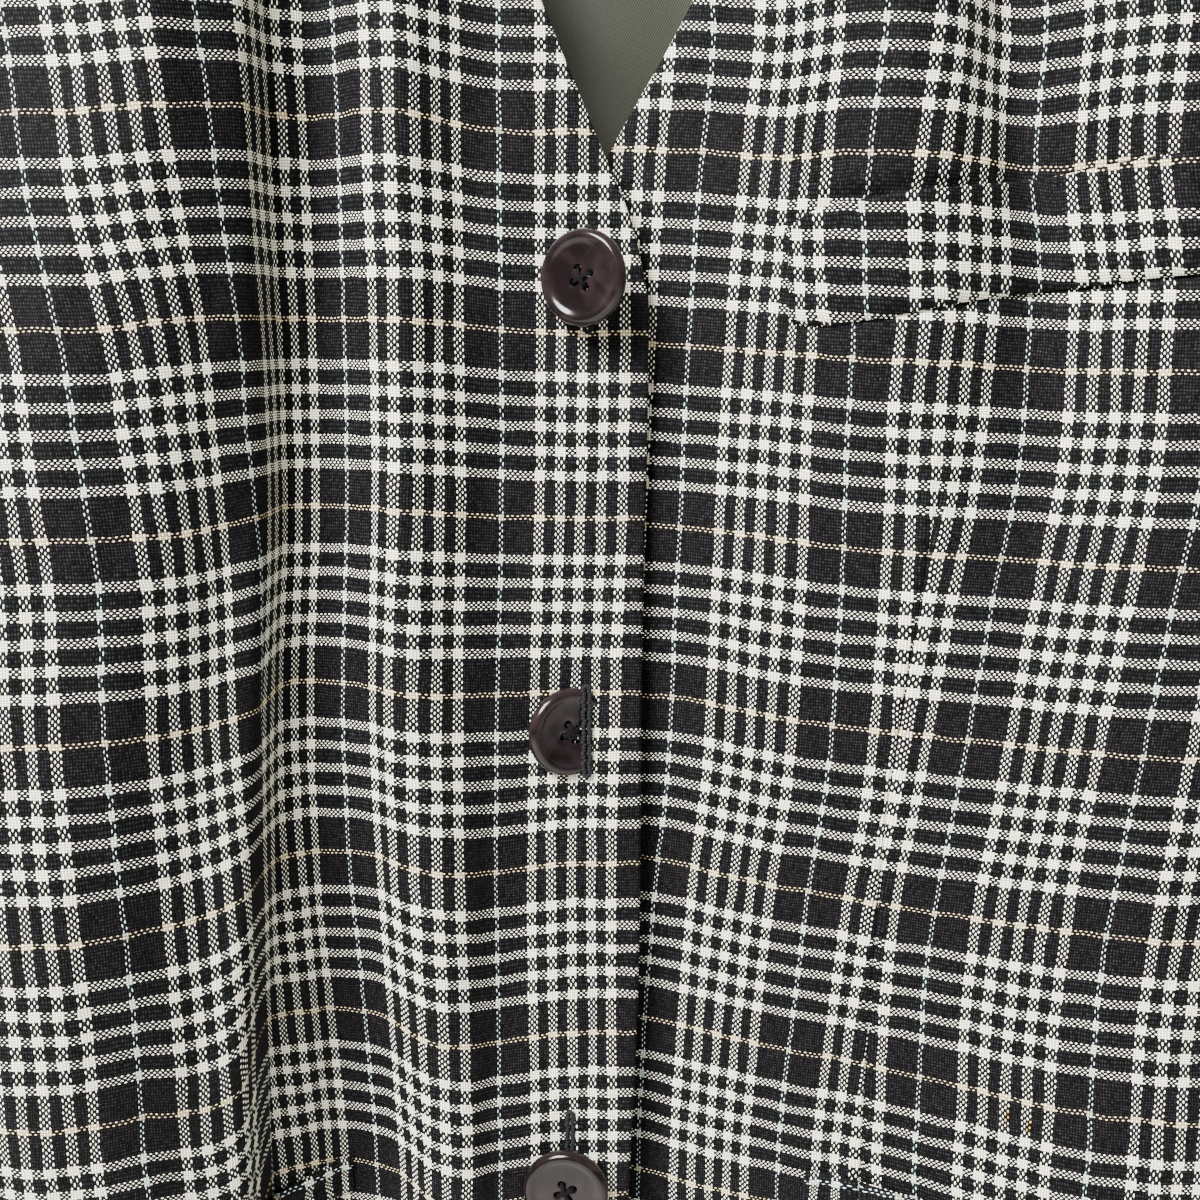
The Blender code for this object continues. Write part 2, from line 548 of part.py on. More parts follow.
CHECK = material("checked cloth", (0.030, 0.028, 0.034), 0.85)
LINED = material("twill lining", (0.085, 0.088, 0.075), 0.6)
POLISHED = material("polished resin", (0.040, 0.020, 0.025), 0.25)
MOULDED = material("moulded plastic", (0.02, 0.02, 0.022), 0.4)

fronts = {}
for side, label, folds, neckline in ((-1, "right", FOLDS_RIGHT, NECKLINE_RIGHT),
                                     (1, "left", FOLDS_LEFT, NECKLINE_LEFT)):
    form = Front(side, folds)
    u, z = front_pattern(neckline)
    points = form.place(u, z)
    sheet(f"front_{label}", points, CHECK, CLOTH, -side)
    fronts[label] = {"form": form, "u": u, "z": z, "points": points, "side": side}

back = back_grid(fronts)
sheet("back", back, CHECK, CLOTH)
for label, column in (("right", 0), ("left", -1)):
    front = fronts[label]
    rings = sleeve_grid(front["side"], front, back[:, column], grid_normals(back)[:, column])
    sheet(f"sleeve_{label}", rings, CHECK, CLOTH, front["side"], closed=True)

inset = CLOTH / 2 + LAID_GAP + LINING / 2
lining = (back + grid_normals(back) * inset)[2:-1, 1:-1]
sheet("back_lining", lining, LINED, LINING)

for label, sign in (("right", -1), ("left", 1)):
    front = fronts[label]
    pattern = (front["points"], front["u"], front["z"])
    for level, name in ((0, "upper"), (1, "lower")):
        start = (POCKET_U, POCKET_Z - level * (JET_HIGH + JET_GAP))
        laid_strip(f"jet_{name}_{label}", pattern, start, JET_HIGH, POCKET_LONG, POCKET_FALL, sign)
pattern = (fronts["left"]["points"], fronts["left"]["u"], fronts["left"]["z"])
laid_strip("chest_welt", pattern, (WELT_U, WELT_Z + WELT_HIGH), WELT_HIGH, WELT_LONG, -WELT_RISE, 1)

shared_button = button_mesh()
right_form = fronts["right"]["form"]
for seat in BUTTON_SEATS:
    swing = by_height(np.array([seat["z"]]), CENTRE_SWING)
    cloth = right_form.place(swing - seat["x"], np.array([seat["z"]]))[0]
    face_out = Matrix.Rotation(math.radians(90), 4, "X")
    turn = Matrix.Rotation(math.radians(seat["yaw"]), 4, "Z")
    node = add(seat["node"], shared_button, POLISHED)
    place = Matrix.Translation((seat["x"], cloth[1] - seat["proud"], seat["z"]))
    node.matrix_world = place @ turn @ face_out
    if seat["node"] == "button_2":
        thick = max(h for r, h in BUTTON_PROFILE) - min(h for r, h in BUTTON_PROFILE)
        slug = cylinder(BUTTON_PROFILE[4][0] + SLIT_CLEAR, thick + 2 * SLIT_CLEAR, BUTTON_SIDES, [(0, 0, 0)])
        hole = cutter("buttonhole_2", slug, node.matrix_world)
        slit = PARTS.objects["front_right"].modifiers.new("buttonhole", "BOOLEAN")
        slit.operation = "DIFFERENCE"
        slit.object = hole

hanger()
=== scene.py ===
# %% [markdown]
# # A checked blazer, buttoned and hanging
# A blazer is flat cloth, cut, sewn and hung. This lesson builds one the way a cutter thinks of it: every
# piece has a flat pattern, and each point of the pattern knows where it hangs in space. The pattern gives
# the check its place, and the place gives the mesh its shape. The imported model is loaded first. It is the
# frame that the looks have to fit.

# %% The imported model
import math

import bpy
import numpy as np
from mathutils import Matrix, Vector


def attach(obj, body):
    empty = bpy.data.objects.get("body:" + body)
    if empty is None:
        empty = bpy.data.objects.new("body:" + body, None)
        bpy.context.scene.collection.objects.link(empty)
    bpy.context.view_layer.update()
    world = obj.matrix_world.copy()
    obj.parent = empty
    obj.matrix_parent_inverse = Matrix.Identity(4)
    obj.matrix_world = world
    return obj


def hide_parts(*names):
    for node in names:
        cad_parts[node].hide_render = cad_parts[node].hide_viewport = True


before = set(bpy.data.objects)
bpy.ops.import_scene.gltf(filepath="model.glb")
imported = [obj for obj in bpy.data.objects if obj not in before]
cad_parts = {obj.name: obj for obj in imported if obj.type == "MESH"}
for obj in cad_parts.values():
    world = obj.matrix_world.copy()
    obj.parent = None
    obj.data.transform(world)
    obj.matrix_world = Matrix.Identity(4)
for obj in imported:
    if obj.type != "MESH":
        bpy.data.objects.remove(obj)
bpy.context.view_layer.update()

# %% [markdown]
# ## Lens and viewpoint
# The photograph is a close-up, taken 35 cm in front of the chest and tilted a little down, so the buttons
# grow towards the top. The view is set first, because it tells how fine each surface has to be.

# %% Viewpoint
FRONT_Y = -0.024           # where the centre front line hangs
VIEW_NEAR = 0.350          # from the lens to that line
VIEW_AT = (0.006, FRONT_Y - VIEW_NEAR, -0.3981)
VIEW_DOWN = 9.1            # degrees below level
FILM = 36.0                # mm across
LENS = 42.0                # mm, which gives 1401 px of focal length on a picture 1200 px wide

view = bpy.data.objects.new("view", bpy.data.cameras.new("view"))
view.data.lens = LENS
view.data.sensor_width = FILM
view.data.clip_start = 0.01
view.location = VIEW_AT
view.rotation_euler = (math.radians(90 - VIEW_DOWN), 0, 0)
bpy.context.scene.collection.objects.link(view)
bpy.context.scene.camera = view
print("lens", LENS, "mm,", VIEW_NEAR * 1000, "mm from the cloth")

# %% [markdown]
# ## Curves through short tables
# A pattern cutter marks a few points and joins them with a curve ruler. The spline below does that: it
# passes through every mark, with the slope that its two neighbours give it.


# %% Curve ruler
def spline(x, knots, values):
    """Cubic Hermite curve: two end values and two end slopes, blended over each step between knots."""
    knots = np.asarray(knots, float)
    values = np.asarray(values, float)
    order = np.argsort(knots)
    knots = knots[order]
    values = values[order]
    slopes = np.gradient(values, knots, axis=0)
    x = np.clip(x, knots[0], knots[-1])
    i = np.clip(np.searchsorted(knots, x) - 1, 0, len(knots) - 2)
    step = knots[i + 1] - knots[i]
    t = (x - knots[i]) / step
    if values.ndim == 2:
        t = t[:, None]
        step = step[:, None]
    return ((2 * t**3 - 3 * t**2 + 1) * values[i] + (t**3 - 2 * t**2 + t) * step * slopes[i]
            + (3 * t**2 - 2 * t**3) * values[i + 1] + (t**3 - t**2) * step * slopes[i + 1])


def by_height(z, table):
    """Value at height z of a table that maps height to value."""
    return spline(z, list(table), list(table.values()))


class Field:
    """A smooth value over a piece of cloth: rows of marks by height, columns of marks by U, in mm."""

    STEP = 0.001

    def __init__(self, marks, rows):
        self.u = np.arange(-0.022, 0.2661, self.STEP)
        self.z = np.linspace(-0.804, -0.115, 160)
        marks = np.array(marks) / 1000
        across = np.array([spline(self.u, marks, np.array(row) / 1000) for row in rows.values()])
        self.values = spline(self.z, list(rows), across)

    def at(self, u, z, values=None):
        """Value between the lattice points, from its four neighbours."""
        values = self.values if values is None else values
        i = np.clip((z - self.z[0]) / (self.z[1] - self.z[0]), 0, len(self.z) - 1.001)
        j = np.clip((u - self.u[0]) / self.STEP, 0, len(self.u) - 1.001)
        row = i.astype(int)
        col = j.astype(int)
        up = i - row
        out = j - col
        return ((1 - up) * (1 - out) * values[row, col] + (1 - up) * out * values[row, col + 1]
                + up * (1 - out) * values[row + 1, col] + up * out * values[row + 1, col + 1])


print("curve through 1, 2 and 5, halfway to its first knot:", spline(0.5, [0, 1, 2], [1, 2, 5]))


# %% [markdown]
# ## Sizes of the blazer
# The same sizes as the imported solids. U is the way across the cloth from the centre front line and z is the
# height at which a thread hangs.

# %% Sizes
NECK_Z = -0.115
NECK_HALF = 0.085
SHOULDER_Z = -0.158
SHOULDER_HALF = 0.205
UNDERARM_Z = -0.372
HEM_Z = -0.804
LAP = 0.016                # each front reaches this far past the centre front line
CLOTH = 0.002
LINING = 0.001
SEAM_GAP = 0.0005
SLEEVE_GAP = 0.0011
LAID_GAP = 0.0005
BACK_NECK_DROP = 0.022
BACK_NECK_ROUND = 2.5
RIDGE_RADIUS = 0.014       # the cloth bends over the hanger on this radius
SHOULDER_SLOPE = (NECK_Z - SHOULDER_Z) / (SHOULDER_HALF - NECK_HALF)
CENTRE_SWING = {-0.115: 0.0, -0.310: 0.002, -0.375: 0.002, -0.488: -0.0015, -0.613: -0.003, -0.804: -0.004}
NECKLINE_RIGHT = {-0.115: 0.085, -0.200: 0.0515, -0.310: 0.010, -0.342: -0.0035, -0.361: -0.0115,
                  -0.380: -LAP}
NECKLINE_LEFT = {-0.115: 0.085, -0.200: 0.062, -0.310: 0.026, -0.345: 0.0055, -0.372: -0.008, -0.400: -LAP}
ARMHOLE_FRONT = {-0.158: 0.205, -0.200: 0.186, -0.250: 0.177, -0.300: 0.182, -0.342: 0.205, -0.372: 0.243}
SIDE_SEAM = {-0.372: 0.243, -0.480: 0.238, -0.600: 0.248, -0.804: 0.262}

# Folds.  Columns: U in mm.  Rows: height, and how far the cloth stands towards the viewer there, mm.
FOLD_U = (-20, 0, 20, 30, 38, 46, 54, 62, 70, 78, 90, 102, 114, 126, 145, 160, 175, 190, 205, 220,
          235, 250, 265)
FOLDS_RIGHT = {
    -0.115: (0, 0, 0, 0, 0, 0, 0, 0, 0, 0, 0, 0, 0, 0, 0, 0, 0, 0, -2, -5, -9, -14, -20),
    -0.180: (0, 0, 0, 0, 1, 2, 2, 1, 1, 2, 4, 7, 8, 8, 6, 4, 2, 0, -3, -7, -12, -18, -25),
    -0.310: (0, 0, 1, 3, 7, 11, 10, 5, 2, 7, 18, 29, 36, 38, 36, 32, 26, 17, 7, -5, -19, -33, -47),
    -0.440: (0, 0, 2, 6, 10, 13, 9, 5, 4, 9, 19, 29, 37, 43, 47, 46, 41, 32, 21, 9, -5, -19, -33),
    -0.530: (0, 0, 3, 9, 12, 10, 5, 2, 3, 10, 21, 32, 40, 47, 54, 53, 45, 34, 21, 8, -6, -20, -34),
    -0.600: (0, 0, 3, 9, 8, 3, -2, -5, -4, 2, 13, 25, 35, 43, 51, 51, 45, 35, 23, 10, -4, -18, -32),
    -0.804: (0, 0, 2, 5, 5, 2, -3, -6, -6, -2, 6, 15, 24, 31, 39, 41, 38, 32, 24, 14, 2, -12, -26),
}
FOLDS_LEFT = {
    -0.115: (0, 0, 0, 0, 0, 0, 0, 0, 0, 0, 0, 0, 0, 0, 0, 0, 0, 0, -2, -5, -9, -14, -20),
    -0.180: (-2, -2, -1, 0, 1, 2, 3, 4, 4, 4, 3, 1, 0, 2, 5, 5, 3, 0, -3, -7, -12, -18, -25),
    -0.310: (-11, -10, -8, -6, -4, -2, 3, 9, 14, 17, 17, 10, 3, 9, 22, 25, 21, 13, 3, -9, -23, -37, -51),
    -0.440: (-9, -8, -6, -4, -1, 2, 5, 7, 9, 11, 14, 15, 16, 20, 27, 30, 28, 22, 13, 1, -13, -27, -41),
    -0.530: (-11, -10, -8, -6, -3, -1, 2, 4, 6, 8, 12, 16, 20, 24, 30, 32, 30, 24, 15, 3, -11, -25, -39),
    -0.600: (-16, -15, -12, -9, -6, -4, -2, 0, 2, 4, 9, 14, 19, 24, 31, 34, 32, 26, 18, 7, -7, -21, -35),
    -0.804: (-18, -17, -14, -12, -10, -8, -6, -4, -2, 1, 6, 12, 18, 23, 30, 34, 33, 28, 21, 11, -2, -16,
             -30),
}
print("neck point to hem", round((NECK_Z - HEM_Z) * 1000), "mm")

# %% [markdown]
# ## How cloth folds
# Cloth bends but hardly stretches. So the folds are given as a relief, and the way across follows from it:
# where the relief climbs steeply, a thread gets less far across. The slope of the relief along the thread is
# the sine of its angle, and the running sum of the cosine is the way across.


# %% Fronts in space
# The big fold of the right front is pressed sharper than a curve through the table: a narrow steep wall.
WALL_U = {-0.180: 0.088, -0.319: 0.0882, -0.354: 0.0892, -0.376: 0.0885, -0.400: 0.0869, -0.470: 0.0866,
          -0.495: 0.0888, -0.519: 0.0915, -0.544: 0.0945, -0.590: 0.0985, -0.804: 0.100}
WALL_HALF = {-0.115: 0.009, -0.400: 0.0085, -0.480: 0.0095, -0.560: 0.0105, -0.804: 0.012}
WALL_SHARP = {-0.115: 0.0, -0.180: 0.15, -0.260: 0.58, -0.400: 0.62, -0.480: 0.75, -0.600: 0.8, -0.700: 0.4,
              -0.804: 0.2}


def sharp_wall(u, z):
    """Relief that steepens the fold's wall and eases the cloth on both sides of it."""
    middle, half, sharp = (by_height(z, table) for table in (WALL_U, WALL_HALF, WALL_SHARP))
    off = (u - middle) / half
    return sharp * half * off * np.exp(-(off**2))


class Front:
    """One front as a bent sheet, from its relief table."""

    MOST_SLOPE = 0.98      # sine of the steepest thread

    def __init__(self, side, folds):
        self.side = side
        self.field = Field(FOLD_U, folds)
        if side < 0:
            self.field.values += sharp_wall(*np.meshgrid(self.field.u, self.field.z))
        slope = np.gradient(self.field.values, Field.STEP, axis=1).clip(-self.MOST_SLOPE, self.MOST_SLOPE)
        across = np.cumsum(np.sqrt(1 - slope**2), axis=1) * Field.STEP
        depth = np.cumsum(slope, axis=1) * Field.STEP
        centre = np.argmin(np.abs(self.field.u))
        self.across = across - across[:, centre:centre + 1]
        self.relief = depth - depth[:, centre:centre + 1] + self.field.values[:, centre:centre + 1]

    def place(self, u, z, proud=0.0):
        """x, y, z of threads, with some small relief added to the folds."""
        across = self.field.at(u, z, self.across)
        relief = self.field.at(u, z, self.relief) + proud
        drop = shoulder_line(across) - z
        depth = (FRONT_Y - relief) * over_ridge(drop) - SEAM_GAP / 2
        swing = by_height(z, CENTRE_SWING)
        return np.stack([self.side * across + swing, depth, z + 0 * u], axis=-1)


def shoulder_line(x):
    """Height of the line along which the cloth lies over the hanger."""
    return NECK_Z - (np.abs(x) - NECK_HALF) * SHOULDER_SLOPE


def over_ridge(drop):
    """Share of the full depth below the shoulder line: a quarter circle of the ridge's radius."""
    return np.sqrt(1 - (1 - np.clip(drop / RIDGE_RADIUS, 0, 1)) ** 2)


fronts = {"right": Front(-1, FOLDS_RIGHT), "left": Front(1, FOLDS_LEFT)}
print("fronts reach", [round(float(f.across.max()), 3) for f in fronts.values()], "m across")

# %% [markdown]
# A hanging front pulls its check out of square: threads sag between the folds and lean towards the darts.
# Two fields hold that, read off the check lines of the real one. Warp shift is how far the stripes down
# the cloth are moved across, and weft lift is how far a thread across the cloth hangs above its level at
# the centre front.

# %% Drawn check
SHIFT_RIGHT = Field((0, 20, 62, 84, 105, 130), {
    -0.321: (-0.5, -0.8, -2.5, -3.0, -3.8, -4.0),
    -0.360: (-1.0, -1.0, -2.5, -1.5, 0.0, 0.0),
    -0.399: (-0.5, -0.5, -1.6, 2.0, 7.5, 8.0),
    -0.430: (0.0, 0.2, -1.0, 4.0, 10.0, 10.0),
    -0.478: (0.2, 0.2, -2.0, 2.0, 7.0, 7.0),
    -0.530: (0.0, 0.0, -1.5, 1.0, 5.5, 5.5),
    -0.560: (0.5, 0.5, 0.5, 2.0, 6.5, 6.5),
    -0.600: (1.2, 1.2, 2.0, 4.0, 8.5, 8.5),
})
SHIFT_LEFT = Field((0, 30, 75, 120), {
    -0.321: (-4.0, -6.0, -10.0, -14.5),
    -0.360: (-2.0, -2.5, -5.0, -7.5),
    -0.399: (-1.0, -1.0, -1.5, -2.8),
    -0.455: (-0.5, -0.7, -1.9, -1.5),
    -0.503: (0.0, -0.1, -0.6, 0.4),
    -0.530: (2.0, 2.2, 2.5, 2.3),
    -0.560: (4.0, 4.0, 5.0, 4.4),
    -0.600: (5.5, 5.5, 8.0, 6.4),
})
LIFT_RIGHT = Field((0, 20, 35, 50, 65, 80, 92, 105, 130), {
    -0.300: (0.0, 0.0, 1.2, 2.4, 2.6, 2.0, 1.8, 0.8, -1.5),
    -0.340: (0.0, -0.1, 1.5, 2.8, 3.0, 2.3, 2.1, 1.0, -2.0),
    -0.386: (-1.4, -0.7, 0.7, 1.4, 1.8, 1.8, 1.6, 1.1, -2.0),
    -0.432: (-1.0, -0.4, 1.0, 2.4, 2.6, 2.6, 1.2, -0.8, -1.8),
    -0.478: (0.5, 0.6, 1.8, 3.6, 4.2, 4.5, 1.2, -1.2, -1.7),
    -0.524: (1.0, -0.5, 2.2, 4.9, 5.4, 6.8, 5.7, 0.0, -1.8),
    -0.570: (-0.1, -1.2, 1.5, 5.2, 6.0, 9.8, 11.0, -2.0, -2.0),
    -0.640: (0.0, -1.0, 1.5, 5.0, 6.0, 9.0, 9.0, -1.0, -2.0),
})
LIFT_LEFT = Field((-16, 10, 30, 50, 70, 90, 120), {
    -0.340: (-2.0, -2.5, -3.7, -6.2, -6.5, -7.8, -9.5),
    -0.386: (-3.2, -3.6, -4.8, -6.4, -7.7, -8.8, -10.8),
    -0.432: (-2.4, -2.8, -4.1, -5.4, -7.6, -8.5, -10.3),
    -0.478: (-1.6, -1.8, -2.1, -4.6, -6.5, -7.4, -9.1),
    -0.524: (0.4, 0.2, -1.1, -3.8, -5.5, -6.8, -7.7),
    -0.570: (0.6, 0.5, -1.1, -3.1, -4.8, -5.6, -7.3),
})
BLUE_RIGHT = 0.0195        # U of the first blue line on each front
BLUE_LEFT = 0.0257
TAN_Z = -0.3404            # height of one tan line at the centre front

# A dart runs down each front from below the chest to the pocket: its line, and the cloth that it takes in.
# The right one lies in the shadow of the big fold.
DARTS = {
    "left": {-0.115: 0.140, -0.250: 0.106, -0.409: 0.0908, -0.447: 0.088, -0.477: 0.0853, -0.503: 0.0831,
             -0.530: 0.082, -0.560: 0.0817, -0.609: 0.0814, -0.804: 0.084},
    "right": {-0.115: 0.140, -0.250: 0.108, -0.409: 0.0935, -0.430: 0.0912, -0.447: 0.0905, -0.478: 0.0905,
              -0.530: 0.0915, -0.560: 0.0912, -0.609: 0.0908, -0.804: 0.0925},
}
DART_TAKES = {-0.409: 0.0, -0.427: 0.0015, -0.447: 0.0044, -0.477: 0.007, -0.503: 0.0085, -0.530: 0.009,
              -0.557: 0.008, -0.586: 0.0055, -0.609: 0.004, -0.640: 0.0}


def check_place(label, u, z, past_dart):
    """Flat place of threads on the check, metres: blue lines at whole repeats of U, tan lines of V."""
    shift, lift, blue = {"right": (SHIFT_RIGHT, LIFT_RIGHT, BLUE_RIGHT),
                         "left": (SHIFT_LEFT, LIFT_LEFT, BLUE_LEFT)}[label]
    taken = by_height(z, DART_TAKES) * past_dart
    return np.stack([u + shift.at(u, z) + taken - blue, z - lift.at(u, z) - TAN_Z], axis=-1)


print("a dart takes in up to", max(DART_TAKES.values()) * 1000, "mm")


# %% [markdown]
# ## A sheet with turned edges
# The edge of a real front is two layers turned in and pressed, so it ends in a soft round, and the check
# runs round it. A plain Solidify would leave a sharp rim. So each sheet is made closed here: its outer side,
# its inner side and a half-round rim all along its edge.

# %% Shell builder
RIM_STEPS = 4              # faces round each half-round rim


def grid_normals(points, closed=False):
    """Unit normals of a grid: the cross product of its steps down and across."""
    if closed:
        across = np.roll(points, -1, axis=1) - np.roll(points, 1, axis=1)
    else:
        across = np.gradient(points, axis=1)
    normal = np.cross(np.gradient(points, axis=0), across)
    return normal / np.linalg.norm(normal, axis=-1, keepdims=True)


def facing(quads, corners, points, outward):
    """Turns all quads over if they don't point outwards."""
    a, b, c, d = (points[quads[:, k]] for k in range(4))
    normal = np.cross(c - a, d - b)
    if np.sum(normal * outward[quads[:, 0]]) < 0:
        return quads[:, ::-1], corners[:, ::-1]
    return quads, corners


def add_mesh(name, points, faces, uv, finish, replaces=(), slot=None):
    """Makes a piece of the blazer from points, faces and, for cloth, the flat place at each face corner."""
    mesh = bpy.data.meshes.new(name)
    mesh.from_pydata(points, [], faces)
    if uv is not None:
        mesh.uv_layers.new(name="flat").data.foreach_set("uv", np.asarray(uv, np.float32).ravel())
    mesh.shade_smooth()
    mesh.materials.append(finish)
    piece = bpy.data.objects.new(name, mesh)
    bpy.context.scene.collection.objects.link(piece)
    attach(piece, "root")
    if replaces:
        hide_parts(*replaces)
    print(name, len(points), "points,", len(faces), "faces")
    return piece


def shell(name, mid, near, far, thick, finish, side=1, closed=False, replaces=(), slot=None):
    """A grid of middle points as cloth: outer side, inner side and half-round rims.

    near and far are the flat places as the face on a point's far and near side sees them.
    """
    rows, cols = mid.shape[:2]
    number = np.arange(rows * cols).reshape(rows, cols)
    ahead = np.roll(number, -1, axis=1) if closed else number[:, 1:]
    here = number if closed else number[:, :-1]
    uv_ahead = np.roll(far, -1, axis=1) if closed else far[:, 1:]
    uv_here = near if closed else near[:, :-1]
    quads = np.stack([here[:-1], ahead[:-1], ahead[1:], here[1:]], -1).reshape(-1, 4)
    quad_uv = np.stack([uv_here[:-1], uv_ahead[:-1], uv_ahead[1:], uv_here[1:]], -2).reshape(-1, 4, 2)
    normal = (grid_normals(mid, closed) * side).reshape(-1, 3)
    flat_mid = mid.reshape(-1, 3)
    points = [flat_mid + normal * thick / 2, flat_mid - normal * thick / 2]
    outward = [normal, -normal]

    down = np.arange(rows)
    over = np.arange(cols)
    if closed:
        turned = np.roll(over, -1)
        edges = [(0 * over, over, 0 * over, turned, near[0], far[0][turned], (1 + 0 * over, over)),
                 (0 * over + rows - 1, over, 0 * over + rows - 1, turned, near[-1], far[-1][turned],
                  (rows - 2 + 0 * over, over))]
    else:
        ring_r = np.concatenate([0 * over[:-1], down[:-1], 0 * over[1:] + rows - 1, down[:0:-1]])
        ring_c = np.concatenate([over[:-1], 0 * down[:-1] + cols - 1, over[:0:-1], 0 * down[1:]])
        start = np.concatenate([near[0, :-1], far[:-1, -1], far[-1, :0:-1], near[:0:-1, 0]])
        end = np.concatenate([far[0, 1:], far[1:, -1], near[-1, -2::-1], near[-2::-1, 0]])
        edges = [(ring_r, ring_c, np.roll(ring_r, -1), np.roll(ring_c, -1), start, end,
                  (ring_r.clip(1, rows - 2), ring_c.clip(1, cols - 2)))]
    rim_quads = []
    rim_uv = []
    count = 2 * rows * cols
    for r, c, r_next, c_next, start, end, inside in edges:
        edge = number[r, c]
        within = number[inside]
        away = flat_mid[edge] - flat_mid[within]
        reach = np.linalg.norm(away, axis=1, keepdims=True)
        turn = normal[edge]
        away = away - turn * np.sum(away * turn, axis=1, keepdims=True)
        away /= np.linalg.norm(away, axis=1, keepdims=True)
        drift = (near.reshape(-1, 2)[edge] - near.reshape(-1, 2)[within]) / reach
        rings = [edge]
        for k in range(1, RIM_STEPS):
            angle = math.pi * k / RIM_STEPS
            arrow = turn * math.cos(angle) + away * math.sin(angle)
            points.append(flat_mid[edge] + arrow * thick / 2)
            outward.append(arrow)
            rings.append(count + np.arange(len(edge)))
            count += len(edge)
        rings.append(edge + rows * cols)
        for k in range(RIM_STEPS):
            shifts = [np.roll(rings[j], -1) for j in (k, k + 1)]
            rim_quads.append(np.stack([rings[k], shifts[0], shifts[1], rings[k + 1]], -1))
            far_out = [drift * thick / 2 * math.pi * min(j, RIM_STEPS - j) / RIM_STEPS for j in (k, k + 1)]
            next_out = [np.roll(f, -1, axis=0) for f in far_out]
            rim_uv.append(np.stack([start + far_out[0], end + next_out[0], end + next_out[1],
                                    start + far_out[1]], -2))
    points = np.concatenate(points)
    outward = np.concatenate(outward)
    groups = [facing(quads, quad_uv, points, outward),
              facing(quads + rows * cols, quad_uv, points, outward)]
    groups += [facing(q, w, points, outward) for q, w in zip(rim_quads, rim_uv)]
    faces = np.concatenate([g[0] for g in groups])
    uv = np.concatenate([g[1] for g in groups])
    return add_mesh(name, points, faces, uv, finish, replaces, slot)


# %% [markdown]
# ## Colours and nodes
# Colours are read from swatches as hex values in sRGB, and the shader wants linear light. One helper adds
# any node, with its settings and its links.


# %% Colour and node helpers
def linear(code):
    """Linear red, green and blue of an sRGB hex colour."""
    levels = [int(code[i:i + 2], 16) / 255 for i in (1, 3, 5)]
    return tuple(v / 12.92 if v <= 0.04045 else ((v + 0.055) / 1.055) ** 2.4 for v in levels)


def add_node(tree, kind, settings=None, out=0, **inputs):
    """Adds a node and returns one of its outputs; each input is a value or another node's output."""
    node = tree.nodes.new(kind)
    for key, value in (settings or {}).items():
        setattr(node, key, value)
    for key, value in inputs.items():
        socket = node.inputs[int(key[1:]) if key[0] == "i" and key[1:].isdigit() else key.replace("_", " ")]
        if isinstance(value, bpy.types.NodeSocket):
            tree.links.new(value, socket)
        else:
            socket.default_value = value
    return node.outputs[out]


def new_finish(name, **inputs):
    """A material with its shader, whose constant sockets are set directly."""
    finish = bpy.data.materials.new(name)
    finish.use_nodes = True
    shader = finish.node_tree.nodes["Principled BSDF"]
    for key, value in inputs.items():
        shader.inputs[key.replace("_", " ")].default_value = value
    return finish, finish.node_tree, shader


def maths(tree, how, *values, kind="ShaderNodeMath", out=0, **more):
    """One step of arithmetic."""
    inputs = {f"i{k}": value for k, value in enumerate(values)}
    return add_node(tree, kind, {"operation": how, **more}, out, **inputs)


def vector_maths(tree, how, *values, out=0):
    """The same for three numbers at once."""
    return maths(tree, how, *values, kind="ShaderNodeVectorMath", out=out)


print("middle grey #808080 in linear light:", round(linear("#808080")[0], 3))


# %% [markdown]
# ## Worsted check
# The cloth is a plain weave of wool: every thread goes over one and under one. The check comes from the
# order in which coloured threads are set in the loom. Down the cloth the order repeats every 63 threads:
# five ivory stripes of four threads with four dark ones between, then a dark field with two pale blue
# threads. Across the cloth it repeats every 60 threads, with two tan ones. The material counts threads in
# the same way, and shows the warp or the weft colour by whether the sum of the two counts is even.
# This gives the dotted half-tones where ivory crosses dark, as on the real cloth.

# %% Check cloth
WARP_PITCH = 0.00065       # 15 threads to the centimetre down the cloth
WEFT_PITCH = 0.046 / 60
WARP_REPEAT = 63
WEFT_REPEAT = 60
BLUE_AT = 49               # the middle of each pair of line threads, in their repeats
TAN_AT = 48
STRIPED = 35.5             # the stripes end after this thread of a repeat
STRIPE_STEP = 8.0          # four ivory threads and four dark ones
STRIPE_IVORY = 3.5
PACKED = 0.40              # ivory wefts are finer than the dark ones, so they lie closer
OVAL = (0.315, 0.53)       # half a float across and along its thread, in threads
OVAL_UNEVEN = 0.24         # how much a thick place widens it
LINE_FINE = -0.35          # the blue and tan threads are thinner
SLUB_APART = 5.37          # neighbouring threads read the noise this far apart
SLUB_LONG = 0.55           # and it is drawn out along the thread by this
DARK_SLUB = (5.0, -1.5)    # gain and offset of the noise in the dark and in the light threads
LIGHT_SLUB = (0.3, 0.84)
SWAY = 0.0008              # threads wander sideways by up to half of this, metres
SWAY_SCALE = 190.0         # and turn back after about 5 mm
FLOAT_PAINTED_HIGHLIGHT = (1.12, 0.08)    # painted highlight: a float is lightest along its crest and painted darker towards its rim
FLOAT_BODY = (2.2, 0.35)      # and gives way to the painted shade of the gap beyond its rim
# Painted shade between the floats: the two threads' colours are multiplied together and darkened by this.
GAP_SHADE = (0.3, 0.29, 0.27)
FIBRE_SCALE = 2600.0       # loose fibres, about 0.4 mm
# Two small brown marks on the left front, beside the fold near the pocket.
STAINS = ((0.10886, -0.0461, -0.5825), (0.11376, -0.0482, -0.5843))
STAIN_HALF = (0.0010, 0.008, 0.0024)
STAIN_EDGE = 2.5           # how sharply a mark ends
STAIN_TINT = linear("#c79a55")
IVORY = linear("#fafaea")
BLUE = linear("#c6dadf")
TAN = linear("#dccaa2")
FIELD_DARK = linear("#131114")
STRIPE_DARK = linear("#0f1213")


